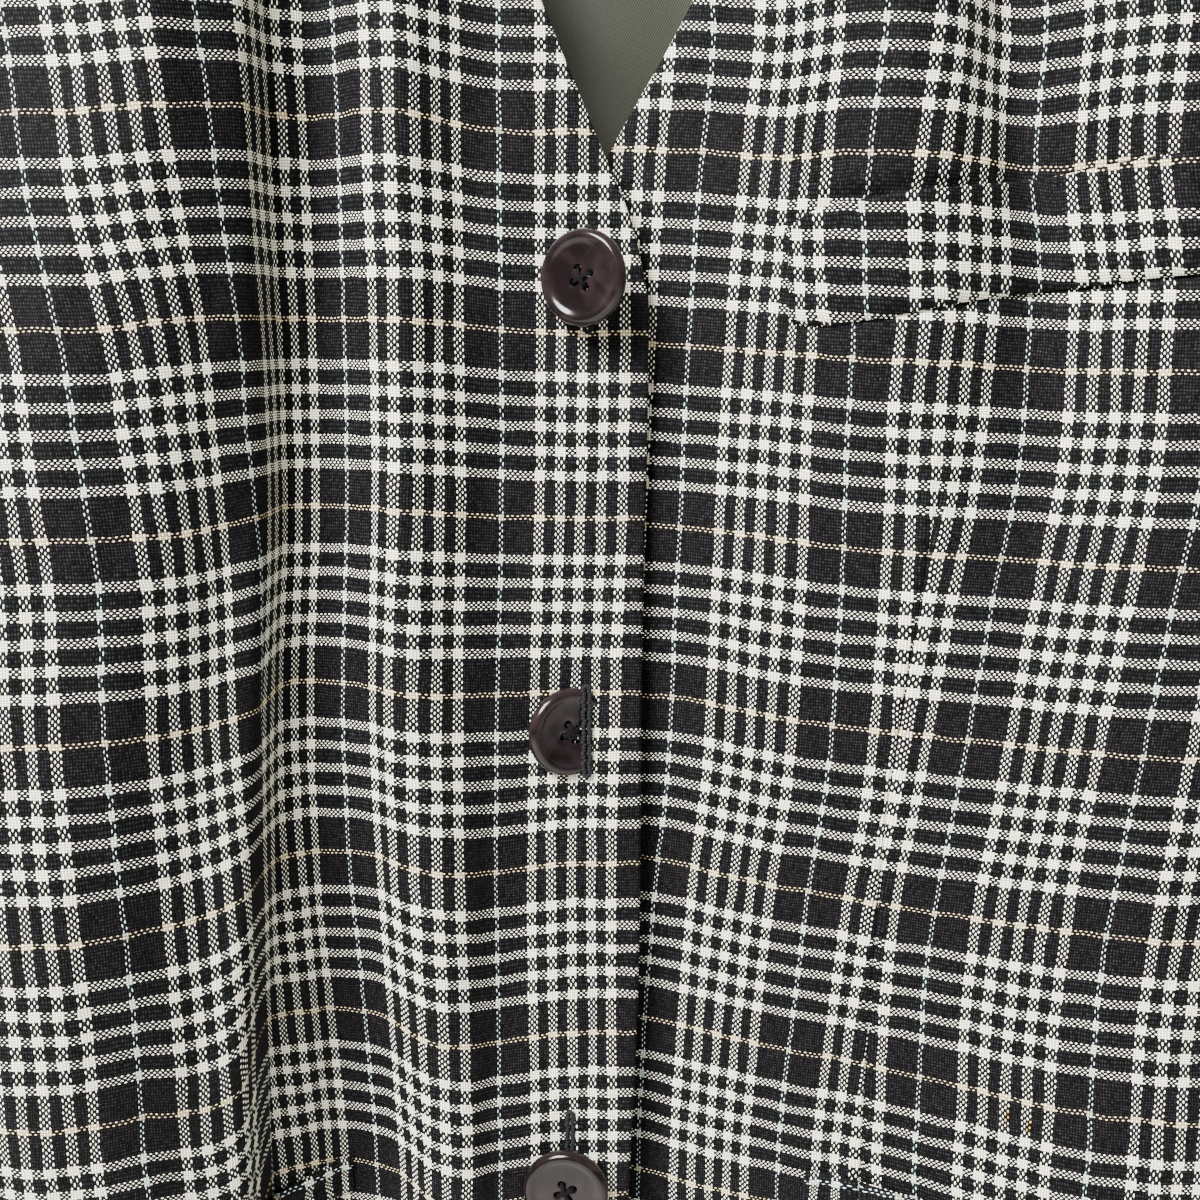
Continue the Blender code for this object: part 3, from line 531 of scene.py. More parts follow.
def mix_colour(tree, share, first, second, how="MIX"):
    """Blend of two colours."""
    blend = {"data_type": "RGBA", "blend_type": how, "clamp_result": False}
    return add_node(tree, "ShaderNodeMix", blend, 2, i0=share, i6=first, i7=second)


def yarn(tree, count, along, repeat, accent_at, accent):
    """Colour and thickness of a numbered thread: ivory in five stripes of four, an accent pair, else dark.

    A noise that is stretched along the thread makes it uneven, as spun wool is.
    """
    turn = maths(tree, "FLOORED_MODULO", count, repeat)
    striped = maths(tree, "LESS_THAN", turn, STRIPED)
    in_stripe = maths(tree, "FLOORED_MODULO", turn, STRIPE_STEP)
    white = maths(tree, "MULTIPLY", striped, maths(tree, "LESS_THAN", in_stripe, STRIPE_IVORY))
    line = maths(tree, "COMPARE", turn, accent_at - 0.5, 0.6)
    run = add_node(tree, "ShaderNodeCombineXYZ", X=maths(tree, "MULTIPLY", count, SLUB_APART),
                   Y=maths(tree, "MULTIPLY", along, SLUB_LONG))
    slub = add_node(tree, "ShaderNodeTexNoise", {"noise_dimensions": "2D"}, Vector=run, Scale=1.0, Detail=2.0)
    dark = mix_colour(tree, striped, (*FIELD_DARK, 1), (*STRIPE_DARK, 1))
    dark = mix_colour(tree, 1.0, dark, maths(tree, "MULTIPLY_ADD", slub, *DARK_SLUB), "MULTIPLY")
    light = mix_colour(tree, line, (*IVORY, 1), (*accent, 1))
    light = mix_colour(tree, 1.0, light, maths(tree, "MULTIPLY_ADD", slub, *LIGHT_SLUB), "MULTIPLY")
    thick = maths(tree, "MULTIPLY_ADD", line, LINE_FINE, slub)
    return mix_colour(tree, maths(tree, "MAXIMUM", white, line), dark, light), thick


def float_height(tree, across, along, slub):
    """Height of a float: one in the middle of its oval, nothing at its rim, less beyond it."""
    wide = maths(tree, "MULTIPLY_ADD", slub, OVAL_UNEVEN, OVAL[0] - OVAL_UNEVEN / 2)
    off = maths(tree, "POWER", maths(tree, "DIVIDE", across, wide), 2.0)
    end = maths(tree, "POWER", maths(tree, "DIVIDE", along, OVAL[1]), 2.0)
    return maths(tree, "SUBTRACT", maths(tree, "SUBTRACT", 1.0, off), end)


def check_cloth():
    """Plain-woven worsted check: each crossing shows an oval float of the warp or of the weft."""
    finish, tree, shader = new_finish("plain-woven worsted check", Roughness=0.75, Sheen_Weight=0.01,
                                      Sheen_Roughness=0.4, Specular_IOR_Level=0.05)
    flat = add_node(tree, "ShaderNodeUVMap", {"uv_map": "flat"})
    # The noise is flat, not solid: the flat place has no third number, and it renders faster.
    noise = add_node(tree, "ShaderNodeTexNoise", {"noise_dimensions": "2D"}, "Color", Vector=flat,
                     Scale=SWAY_SCALE, Detail=2.0)
    sway = vector_maths(tree, "SUBTRACT", noise, (0.5, 0.5, 0.5))
    sway = add_node(tree, "ShaderNodeVectorMath", {"operation": "SCALE"}, i0=sway, Scale=SWAY)
    place = vector_maths(tree, "ADD", flat, sway)
    threads = (1 / WARP_PITCH, 1 / WEFT_PITCH, 0)
    counted = vector_maths(tree, "MULTIPLY_ADD", place, threads, (BLUE_AT, TAN_AT, 0))
    x = add_node(tree, "ShaderNodeSeparateXYZ", i0=counted)
    y = tree.nodes[-1].outputs[1]
    # A wave of one turn for each ivory stripe packs the ivory wefts and spreads the dark ones.
    half_stripe = STRIPE_STEP / 4
    turn = maths(tree, "FLOORED_MODULO", maths(tree, "ADD", y, half_stripe), WEFT_REPEAT)
    turn = maths(tree, "SUBTRACT", turn, 2 * half_stripe)
    wave = maths(tree, "SINE", maths(tree, "MULTIPLY", turn, 2 * math.pi / STRIPE_STEP))
    wave = maths(tree, "MULTIPLY", maths(tree, "MULTIPLY", wave, PACKED),
                 maths(tree, "LESS_THAN", turn, STRIPED + 0.5))
    y = maths(tree, "ADD", y, wave)

    warp = maths(tree, "FLOOR", x)
    weft = maths(tree, "FLOOR", y)
    warp_colour, warp_slub = yarn(tree, warp, y, WARP_REPEAT, BLUE_AT, BLUE)
    weft_colour, weft_slub = yarn(tree, weft, x, WEFT_REPEAT, TAN_AT, TAN)
    dx, dy = (maths(tree, "ABSOLUTE", maths(tree, "SUBTRACT", maths(tree, "FRACT", way), 0.5))
              for way in (x, y))
    over = maths(tree, "FLOORED_MODULO", maths(tree, "ADD", warp, weft), 2.0)
    under = maths(tree, "SUBTRACT", 1.0, over)
    # Where a thread is under here, its nearest float is in the next cell.
    warp_along = maths(tree, "ABSOLUTE", maths(tree, "SUBTRACT", under, dy))
    weft_along = maths(tree, "ABSOLUTE", maths(tree, "SUBTRACT", over, dx))
    warp_high = float_height(tree, dx, warp_along, warp_slub)
    weft_high = float_height(tree, dy, weft_along, weft_slub)
    high = maths(tree, "MAXIMUM", warp_high, weft_high)
    lead = maths(tree, "SUBTRACT", warp_high, weft_high)
    lead = maths(tree, "MULTIPLY_ADD", lead, 4.0, 0.5, use_clamp=True)
    shown = mix_colour(tree, lead, weft_colour, warp_colour)
    # The gap colour is painted shade: both threads multiplied together, then darkened by GAP_SHADE.
    gap = mix_colour(tree, 1.0, warp_colour, weft_colour, "MULTIPLY")
    gap = mix_colour(tree, 1.0, gap, (*GAP_SHADE, 1), "MULTIPLY")
    # A painted highlight along each float's crest, with painted shade towards its rim.
    lit = maths(tree, "MULTIPLY_ADD", maths(tree, "MAXIMUM", high, 0.0), *FLOAT_PAINTED_HIGHLIGHT)
    shown = mix_colour(tree, 1.0, shown, lit, "MULTIPLY")
    body = maths(tree, "MULTIPLY_ADD", high, *FLOAT_BODY, use_clamp=True)
    shown = mix_colour(tree, body, gap, shown)
    spot_at = add_node(tree, "ShaderNodeTexCoord", None, "Object")
    for centre in STAINS:
        off = vector_maths(tree, "DIVIDE", vector_maths(tree, "SUBTRACT", spot_at, centre), STAIN_HALF)
        off = vector_maths(tree, "LENGTH", off, out="Value")
        spot = maths(tree, "MULTIPLY_ADD", off, -STAIN_EDGE, STAIN_EDGE, use_clamp=True)
        soiled = mix_colour(tree, 1.0, shown, (*STAIN_TINT, 1), "MULTIPLY")
        shown = mix_colour(tree, spot, shown, soiled)
    tree.links.new(shown, shader.inputs["Base Color"])
    fibre = add_node(tree, "ShaderNodeTexNoise", Vector=flat, Scale=FIBRE_SCALE, Detail=1.0)
    raised = maths(tree, "MULTIPLY_ADD", fibre, 0.35, maths(tree, "MAXIMUM", high, -0.3))
    bump = add_node(tree, "ShaderNodeBump", Strength=0.5, Distance=0.00012, Height=raised)
    tree.links.new(bump, shader.inputs["Normal"])
    return finish


CHECK = check_cloth()
print(f"check repeat {WARP_REPEAT * WARP_PITCH * 1000:.1f} by {WEFT_REPEAT * WEFT_PITCH * 1000:.1f} mm")

# %% [markdown]
# ## Lining
# The V of the neck shows the lining of the back: a fine satin-faced viscose twill, dark olive. Its diagonal
# ribs climb from lower left to upper right, a little over half a millimetre apart.

# %% Twill lining
TWILL_PITCH = 0.00062
TWILL_RISE = 62            # degrees of the rib above the weft
CLOUD_SCALE = 900.0        # uneven ribs, about 1 mm


def twill():
    """Dark olive twill: ribs as a wave across their own direction, with painted light on their crests and
    painted shade between them.
    """
    finish, tree, shader = new_finish("viscose twill lining", Roughness=0.5, Sheen_Weight=0.03,
                                      Sheen_Roughness=0.35, Specular_IOR_Level=0.15)
    flat = add_node(tree, "ShaderNodeUVMap", {"uv_map": "flat"})
    lean = math.radians(TWILL_RISE)
    ribs = vector_maths(tree, "DOT_PRODUCT", flat, (math.sin(lean), -math.cos(lean), 0), out="Value")
    wave = maths(tree, "SINE", maths(tree, "MULTIPLY", ribs, 2 * math.pi / TWILL_PITCH))
    wave = maths(tree, "MULTIPLY_ADD", wave, 0.5, 0.5)
    cloud = add_node(tree, "ShaderNodeTexNoise", Vector=flat, Scale=CLOUD_SCALE)
    rib_shade_and_cloud = maths(tree, "ADD", wave, maths(tree, "MULTIPLY_ADD", cloud, 0.5, -0.25))
    # Painted light and shade of the ribs: the rib wave and an uneven cloud pick between a shaded and a lit
    # olive.
    colour = mix_colour(tree, rib_shade_and_cloud, (*linear("#1f201a"), 1), (*linear("#33352d"), 1))
    tree.links.new(colour, shader.inputs["Base Color"])
    bump = add_node(tree, "ShaderNodeBump", Strength=0.4, Distance=0.00005, Height=wave)
    tree.links.new(bump, shader.inputs["Normal"])
    return finish


LINED = twill()
print("lining ribs", TWILL_PITCH * 1000, "mm apart")

# %% [markdown]
# ## Fronts
# The grid of a front has a column of points along its dart, because there the check jumps. Its rows and
# columns are finest where the close-up looks.

# %% Grid of the fronts
UPPER_ROWS = 96
MIDDLE_ROWS = 132
LOWER_ROWS = 42
MIDDLE_END = -0.620
RIDGE_ROWS = (0.00002, 0.0004, 0.0012, 0.0026, 0.0046, 0.0072, 0.0104, 0.014)
INNER_COLUMNS = 62
DART_NEAR = 0.004          # closely spaced columns on both sides of the dart
DART_PINCH = np.array([-0.003, -0.0021, -0.0013, -0.0006, 0, 0.0006, 0.0013, 0.0021, 0.003])
OUTER_COLUMNS = 66
OUTER_SPREAD = 1.25        # the columns beyond the dart get wider towards the side seam
# The right front's edge bows out by this much.
EDGE_OUT = {-0.380: 0.0, -0.412: 0.0007, -0.447: 0.0013, -0.481: 0.0020, -0.520: 0.0027, -0.560: 0.0027,
            -0.603: 0.0013, -0.640: 0.0, -0.804: 0.0}


def rows_from(top):
    """Heights of the rows of a column that starts at the height top."""
    ridge = top - np.array(RIDGE_ROWS[:-1])
    upper = np.linspace(top - RIDGE_ROWS[-1], UNDERARM_Z, UPPER_ROWS)
    middle = np.linspace(UNDERARM_Z, MIDDLE_END, MIDDLE_ROWS + 1)[1:]
    lower = np.linspace(MIDDLE_END, HEM_Z + CLOTH / 2, LOWER_ROWS + 1)[1:]
    return np.concatenate([ridge, upper, middle, lower])


def front_edge(z):
    """U of a front's outer edge at heights z, down the armhole and the side seam."""
    return np.where(z > UNDERARM_Z, by_height(z, ARMHOLE_FRONT), by_height(z, SIDE_SEAM))


def front_pattern(label, neckline):
    """U and z of the grid, and the number of the dart's column."""
    inner_z = rows_from(NECK_Z)
    outer_z = rows_from(SHOULDER_Z)
    inner_u = np.where(inner_z > min(neckline), by_height(inner_z, neckline), -LAP) + CLOTH / 2
    if label == "right":
        inner_u = inner_u - by_height(inner_z, EDGE_OUT)
    outer_u = front_edge(outer_z) - CLOTH / 2
    dart_u = np.maximum(by_height(outer_z, DARTS[label]), inner_u + 0.03)
    far = np.linspace(0, 1, INNER_COLUMNS)[:, None] * (dart_u - DART_NEAR - inner_u) + inner_u
    pinch = dart_u + DART_PINCH[:, None]
    stretch = np.linspace(0, 1, OUTER_COLUMNS)[:, None] ** OUTER_SPREAD
    beyond = dart_u + DART_NEAR + stretch * (outer_u - dart_u - DART_NEAR)
    u = np.concatenate([far, pinch, beyond]).T
    share = (u - u[:, :1]) / (u[:, -1:] - u[:, :1])
    z = inner_z[:, None] + (outer_z - inner_z)[:, None] * share
    return u, z, INNER_COLUMNS + len(DART_PINCH) // 2


print("a front has", len(rows_from(NECK_Z)), "rows of", INNER_COLUMNS + len(DART_PINCH) + OUTER_COLUMNS)


# %% [markdown]
# ## Small relief of the fronts
# Four things lie over the folds: the pinch of the dart with the swell round it, the turned seam along the
# edge, the slight unevenness of worn cloth, and on the left front the hollows that the welt's mouth and
# seam press into it. So the welt's sizes come first.

# %% Small relief
DART_FULL = 0.003          # where the dart takes in this much, its relief is at its full height
PINCH_DEEP = 0.0011
PINCH_HALF = 0.0012
SWELL_HIGH = 0.0007
SWELL_HALF = 0.006
EDGE_RIDGE = {"in": 0.006, "high": 0.00035, "half": 0.002}
EDGE_GROOVE = {"in": 0.010, "high": -0.0003, "half": 0.0018}
WELT_U = 0.053             # where the welt's seam starts, how long it is and how far it climbs
WELT_LONG = 0.100
WELT_Z = -0.386
WELT_RISE = 0.012
# Edges of the welt, as height over its seam's straight line at shares of its length, mm.
WELT_TOP = {0.0: 22.5, 0.05: 24.6, 0.2: 25.6, 0.5: 25.2, 0.8: 25.0, 1.0: 24.6}
WELT_FOOT = {0.0: 0.6, 0.05: -0.4, 0.22: -0.7, 0.42: 0.6, 0.7: 0.3, 1.0: -0.6}
MOUTH = {"deep": 0.0032, "off": 0.0009, "half": 0.0011, "at": 0.27, "long": 0.25}
FOOT = {"deep": 0.0020, "off": -0.0008, "half": 0.0010}
FOOT_PARTS = ({"share": 0.35, "at": 0.1, "long": 0.2}, {"share": 1.0, "at": 0.75, "long": 0.42})


def bell(x, half):
    """1 at x = 0, falling smoothly to nothing near two half widths."""
    return np.exp(-((x / half) ** 2))


def small_relief(label, u, z, inner_u):
    """Relief on top of the folds, metres: bells across the dart and the edge seam, and slow waves."""
    phase = {"right": 0.0, "left": 2.1}[label]
    taken = np.clip(by_height(z, DART_TAKES) / DART_FULL, 0, 1)
    off = u - by_height(z, DARTS[label])
    pinch = (SWELL_HIGH * bell(off, SWELL_HALF) - PINCH_DEEP * bell(off, PINCH_HALF)) * taken
    edge = sum(line["high"] * bell(u - inner_u - line["in"], line["half"])
               for line in (EDGE_RIDGE, EDGE_GROOVE))
    uneven = (0.00035 * np.sin(u * 410 + 3 * np.sin(z * 31 + phase)) * np.sin(z * 96 + 2 * np.sin(u * 47))
              + 0.0005 * np.sin(z * 52 + 4 * u * 21 + phase) * np.sin(u * 88 + phase))
    return pinch + edge + uneven


def pocket_troughs(u, z):
    """Hollows of the left front behind the welt's mouth and under its foot: bells across both edges."""
    along = (u - WELT_U) / WELT_LONG
    line = WELT_Z + WELT_RISE * along
    share = np.clip(along, 0, 1)
    head = line + by_height(share, WELT_TOP) / 1000
    foot = line + by_height(share, WELT_FOOT) / 1000
    mouth = MOUTH["deep"] * bell(z - head - MOUTH["off"], MOUTH["half"])
    mouth = mouth * bell(along - MOUTH["at"], MOUTH["long"])
    reach = sum(part["share"] * bell(along - part["at"], part["long"]) for part in FOOT_PARTS)
    under = FOOT["deep"] * bell(z - foot - FOOT["off"], FOOT["half"]) * reach
    return -mouth - under * (np.abs(along - 0.5) < 0.52)


print("the welt's mouth is", MOUTH["deep"] * 1000, "mm deep")


# %% [markdown]
# ## The two fronts
# Going over the hanger, the cloth is longer than the height that it gains, and the check shows it. So the
# extra length of each column is added to the flat place before the sheet is made.

# %% Fronts


def ridge_extra(points):
    """How much longer the cloth is, going up a column over the hanger, than the height that it gains."""
    step = np.linalg.norm(np.diff(points[..., 1:], axis=0), axis=-1)
    extra = np.clip(step - np.abs(np.diff(points[..., 2], axis=0)), 0, None)
    extra[len(RIDGE_ROWS):] = 0
    return np.concatenate([np.cumsum(extra[::-1], axis=0)[::-1], np.zeros((1, points.shape[1]))])


def raised(place, extra):
    """Flat places with a length added to their way up the cloth."""
    return place + np.stack([0 * extra, extra], axis=-1)


def cut_area(points):
    """Area of a grid of points, from its cells' diagonals, square metres."""
    cross = np.cross(points[1:, 1:] - points[:-1, :-1], points[1:, :-1] - points[:-1, 1:])
    return float(np.linalg.norm(cross, axis=-1).sum() / 2)


def make_front(label, neckline):
    """The sheet of one front, and its cut area."""
    form = fronts[label]
    u, z, dart = front_pattern(label, neckline)
    proud = small_relief(label, u, z, u[:, :1])
    if label == "left":
        proud = proud + pocket_troughs(u, z)
    points = form.place(u, z, proud)
    column = np.arange(u.shape[1])[None, :] + 0 * z
    extra = ridge_extra(points)
    near = raised(check_place(label, u, z, column >= dart), extra)
    far = raised(check_place(label, u, z, column > dart), extra)
    piece = shell(f"front_{label}_cloth", points, near, far, CLOTH, CHECK, -form.side,
                  replaces=(f"front_{label}",), slot="check_cloth")
    return {"piece": piece, "area": cut_area(points)}


sheets = {"right": make_front("right", NECKLINE_RIGHT), "left": make_front("left", NECKLINE_LEFT)}

# %% [markdown]
# ## Back
# The back hangs from the same shoulder seams and meets the fronts at the side seams, so its outer edge is
# worked out from theirs. It is nearly flat in the middle and turns forward to the seams on a fuller curve
# than a circle. Each row is measured along the cloth and its points are spread evenly over that length, so
# the check keeps its true width round the turn.

# %% Back grid
BACK_Y = {-0.115: 0.026, -0.160: 0.030, -0.250: 0.044, -0.400: 0.050, -0.500: 0.047, -0.804: 0.055}
BACK_ROUND = 3.0
ARMHOLE_BACK = {-0.158: 1.0, -0.200: 0.92, -0.250: 0.88, -0.300: 0.89, -0.342: 0.94, -0.372: 1.0}
ARMHOLE_TURN = {-0.158: 0.10, -0.250: 0.25, -0.320: 0.55, -0.372: 1.0}
BACK_TURN = {-0.158: 0.70, -0.250: 0.80, -0.330: 0.90, -0.372: 1.0, -0.804: 1.0}
CHEST_Z = -0.300
BACK_FOLDS = (
    {"x": -148, "half": 26, "chest": 2, "hem": 13},
    {"x": -96, "half": 22, "chest": -2, "hem": -9},
    {"x": -48, "half": 24, "chest": 3, "hem": 10},
    {"x": 12, "half": 26, "chest": -2, "hem": -8},
    {"x": 66, "half": 25, "chest": 2, "hem": 11},
    {"x": 112, "half": 20, "chest": -2, "hem": -8},
    {"x": 154, "half": 24, "chest": 2, "hem": 12},
)
# Soft creases of the back: where each starts and ends across and down, its half width and height, mm.
BACK_CREASES = (
    {"from": (168, -300), "to": (96, -352), "half": 9, "high": 1.6},
    {"from": (160, -326), "to": (70, -420), "half": 8, "high": -1.2},
    {"from": (-166, -296), "to": (-104, -366), "half": 9, "high": 1.4},
    {"from": (-158, -334), "to": (-84, -402), "half": 7, "high": -1.1},
    {"from": (-60, -476), "to": (40, -492), "half": 10, "high": 1.0},
    {"from": (30, -512), "to": (128, -498), "half": 9, "high": -0.9},
    {"from": (-140, -520), "to": (-50, -506), "half": 9, "high": 0.9},
    {"from": (58, -180), "to": (120, -236), "half": 9, "high": 1.0},
    {"from": (-66, -184), "to": (-118, -228), "half": 8, "high": 0.9},
)
BACK_UNEVEN = 0.0004
BACK_CHECK = 0.0103        # from a blue line of the check to the middle of the back
BACK_ROWS = (56, 44, 24)
NECK_COLUMNS = 24
SIDE_COLUMNS = 52
FINE_COLUMNS = 160
LINING_FROM = 3            # the lining starts this many rows below the shoulder seam
LINING_END = -0.773
LINING_SIDE = 4            # and ends this many columns before the side seam


def crease(across, z, line):
    """A soft trough or ridge: a bell across its line, fading towards both ends, metres."""
    start = np.array(line["from"]) / 1000
    way = np.array(line["to"]) / 1000 - start
    long = np.hypot(*way)
    along = ((across - start[0]) * way[0] + (z - start[1]) * way[1]) / long**2
    off = ((across - start[0]) * way[1] - (z - start[1]) * way[0]) / long
    fade = np.exp(-((np.abs(along - 0.5) / 0.5) ** 4))
    return line["high"] / 1000 * bell(off, line["half"] / 1000) * fade


def outer_edge(label, z):
    """Points of a front's true outer edge, where the back or the sleeve meets it."""
    return fronts[label].place(front_edge(z)[:, None], z[:, None])[:, 0]


def back_half(side, label, outer_z):
    """Half of the back from its centre to the seam: points, and the way along the cloth to each."""
    split = NECK_HALF / SHOULDER_HALF
    turn = np.linspace(math.asin(split ** (BACK_ROUND / 2)), math.pi / 2, FINE_COLUMNS)
    half = np.concatenate([np.linspace(0, split, NECK_COLUMNS)[:-1], np.sin(turn) ** (2 / BACK_ROUND)])
    seam = outer_edge(label, outer_z)
    under = outer_edge(label, np.array([UNDERARM_Z]))[0]
    down = np.clip((outer_z[0] - outer_z) / (outer_z[0] - UNDERARM_Z), 0, 1)
    wide = SHOULDER_HALF + (abs(under[0]) - SHOULDER_HALF) * down
    wide = np.where(outer_z > UNDERARM_Z, wide * by_height(outer_z, ARMHOLE_BACK), np.abs(seam[:, 0]))
    share = by_height(outer_z, ARMHOLE_TURN)
    armhole_y = by_height(outer_z, BACK_Y) * (1 - share) + (under[1] + SEAM_GAP) * share
    edge_y = np.where(outer_z > UNDERARM_Z, armhole_y, seam[:, 1] + SEAM_GAP)
    x = wide[:, None] * half
    scoop = BACK_NECK_DROP * (1 - (x / NECK_HALF) ** BACK_NECK_ROUND)
    top = np.where(x > NECK_HALF, shoulder_line(x), NECK_Z - scoop) - RIDGE_ROWS[0]
    z = np.where(down[:, None] < 1, top[0] - down[:, None] * (top[0] - UNDERARM_Z), outer_z[:, None])
    middle = by_height(z, BACK_Y)
    reach = half * np.minimum(by_height(outer_z, BACK_TURN), 1)[:, None]
    turned = 1 - (1 - reach**BACK_ROUND) ** (1 / BACK_ROUND)
    depth = middle - (middle - edge_y[:, None]) * turned / turned[:, -1:]
    waves = np.zeros_like(x)
    low = np.clip((SHOULDER_Z - z) / (SHOULDER_Z - CHEST_Z), 0, 1)
    fall = np.clip((CHEST_Z - z) / (CHEST_Z - HEM_Z), 0, 1)
    for fold in BACK_FOLDS:
        near = np.clip((side * x * 1000 - fold["x"]) / fold["half"], -1, 1)
        high = (fold["chest"] * low + (fold["hem"] - fold["chest"]) * fall) / 1000
        waves += high * (0.5 + 0.5 * np.cos(math.pi * near))
    for line in BACK_CREASES:
        waves += crease(side * x, z, line)
    waves += BACK_UNEVEN * np.sin(side * x * 120 + 3 * np.sin(z * 40)) * np.sin(z * 90 + x * 30)
    depth = (depth + waves * (1 - half**4)) * over_ridge(shoulder_line(x) - z) + SEAM_GAP / 2
    points = np.stack([side * x, depth, z], axis=-1)
    arc = np.cumsum(np.linalg.norm(np.diff(points, axis=1), axis=-1), axis=1)
    arc = np.concatenate([np.zeros((len(arc), 1)), arc], axis=1)
    neck_arc = arc[:, NECK_COLUMNS - 1]
    end = arc[:, -1] - CLOTH / 2
    inner = neck_arc[:, None] * np.linspace(0, 1, NECK_COLUMNS)
    outer = neck_arc[:, None] + (end - neck_arc)[:, None] * np.linspace(0, 1, SIDE_COLUMNS + 1)[1:]
    spread = np.concatenate([inner, outer], axis=1)
    even = np.array([[np.interp(s, a, p[:, k]) for k in range(3)] for s, a, p in zip(spread, arc, points)])
    return even.transpose(0, 2, 1), spread, points[:, -1]


def body_rows(top, counts):
    """Heights of the back's rows: close at the ridge, then three even zones."""
    ends = (top - RIDGE_ROWS[-1], UNDERARM_Z, MIDDLE_END, HEM_Z + CLOTH / 2)
    zones = [np.linspace(ends[k], ends[k + 1], counts[k] + 1)[1:] for k in range(len(counts))]
    return np.concatenate([top - np.array(RIDGE_ROWS), *zones])


back_z = body_rows(SHOULDER_Z, BACK_ROWS)
halves = {label: back_half(side, label, back_z) for side, label in ((-1, "right"), (1, "left"))}
back = np.concatenate([halves["right"][0][:, :0:-1], halves["left"][0]], axis=1)
back_u = np.concatenate([-halves["right"][1][:, :0:-1], halves["left"][1]], axis=1)
back_flat = raised(np.stack([back_u + BACK_CHECK, back[..., 2] - TAN_Z], axis=-1), ridge_extra(back))
back_piece = shell("back_cloth", back, back_flat, back_flat, CLOTH, CHECK, replaces=("back",),
                   slot="check_cloth")
print("back is", round(float(np.ptp(back_u[-1])), 3), "m round at the hem")

# %% Lining of the back
inset = CLOTH / 2 + LAID_GAP + LINING / 2
held = slice(LINING_FROM, int(np.sum(back_z > LINING_END)))
lining_points = (back + grid_normals(back) * inset)[held, LINING_SIDE:-LINING_SIDE]
lining_flat = back_flat[held, LINING_SIDE:-LINING_SIDE]
lining_piece = shell("back_lining_twill", lining_points, lining_flat, lining_flat, LINING, LINED,
                     replaces=("back_lining",), slot="lining_twill")

# %% [markdown]
# ## Sleeves
# A set-in sleeve leaves the armhole nearly level and turns down over its head. Each thread from the
# armhole to the biceps is one cubic Bezier curve, level at one end and upright at the other. Below that the
# sleeve is a tube of oval sections, which lean forward towards the cuff as a real sleeve does.

# %% Sleeve grid
SLEEVE_SECTIONS = (
    {"z": -0.430, "x": 0.2595, "y": 0.000, "across": 0.038, "deep": 0.066},
    {"z": -0.520, "x": 0.2625, "y": -0.004, "across": 0.037, "deep": 0.062},
    {"z": -0.620, "x": 0.2640, "y": -0.012, "across": 0.034, "deep": 0.056},
    {"z": -0.722, "x": 0.2625, "y": -0.024, "across": 0.030, "deep": 0.051},
)
CAP_REACH = (0.008, 0.044)
CAP_FALL = (0.018, 0.160)
CAP_ROWS = 48
TUBE_ROWS = 76
ARMHOLE_ROWS = 72
ARM_FOLD = 0.0016          # height of the three long folds down the arm
# Creases of the hanging sleeve: turn from the outermost thread in degrees, height, half width and rise, mm.
SLEEVE_CREASES = (
    {"turn": 62, "z": -0.474, "lean": 0.9, "half": 7.0, "high": -2.2, "long": 0.9},
    {"turn": 74, "z": -0.497, "lean": 0.8, "half": 8.0, "high": 1.6, "long": 0.8},
    {"turn": 58, "z": -0.522, "lean": 0.7, "half": 6.5, "high": -1.8, "long": 0.7},
    {"turn": 96, "z": -0.548, "lean": 0.5, "half": 7.5, "high": 1.3, "long": 0.8},
    {"turn": -68, "z": -0.455, "lean": -0.7, "half": 8.0, "high": -1.5, "long": 0.8},
    {"turn": -84, "z": -0.512, "lean": -0.6, "half": 7.0, "high": 1.2, "long": 0.7},
    {"turn": 22, "z": -0.610, "lean": 0.5, "half": 8.0, "high": -1.2, "long": 0.9},
    {"turn": -30, "z": -0.655, "lean": -0.4, "half": 9.0, "high": 1.1, "long": 0.8},
    {"turn": 8, "z": -0.405, "lean": 0.2, "half": 9.0, "high": -1.2, "long": 0.6},
)


def sleeve_relief(angle, z):
    """Relief of the tube: slanting creases, and three long soft folds down the arm."""
    turn = np.degrees((angle + math.pi) % (2 * math.pi) - math.pi)
    relief = ARM_FOLD * np.cos(3 * angle + 0.8) * np.clip((-0.40 - z) / 0.12, 0, 1)
    for line in SLEEVE_CREASES:
        off = z - line["z"] - line["lean"] * np.radians(turn - line["turn"]) * 0.05
        reach = bell(np.radians(turn - line["turn"]), line["long"])
        relief += line["high"] / 1000 * bell(off, line["half"] / 1000) * reach
    return relief


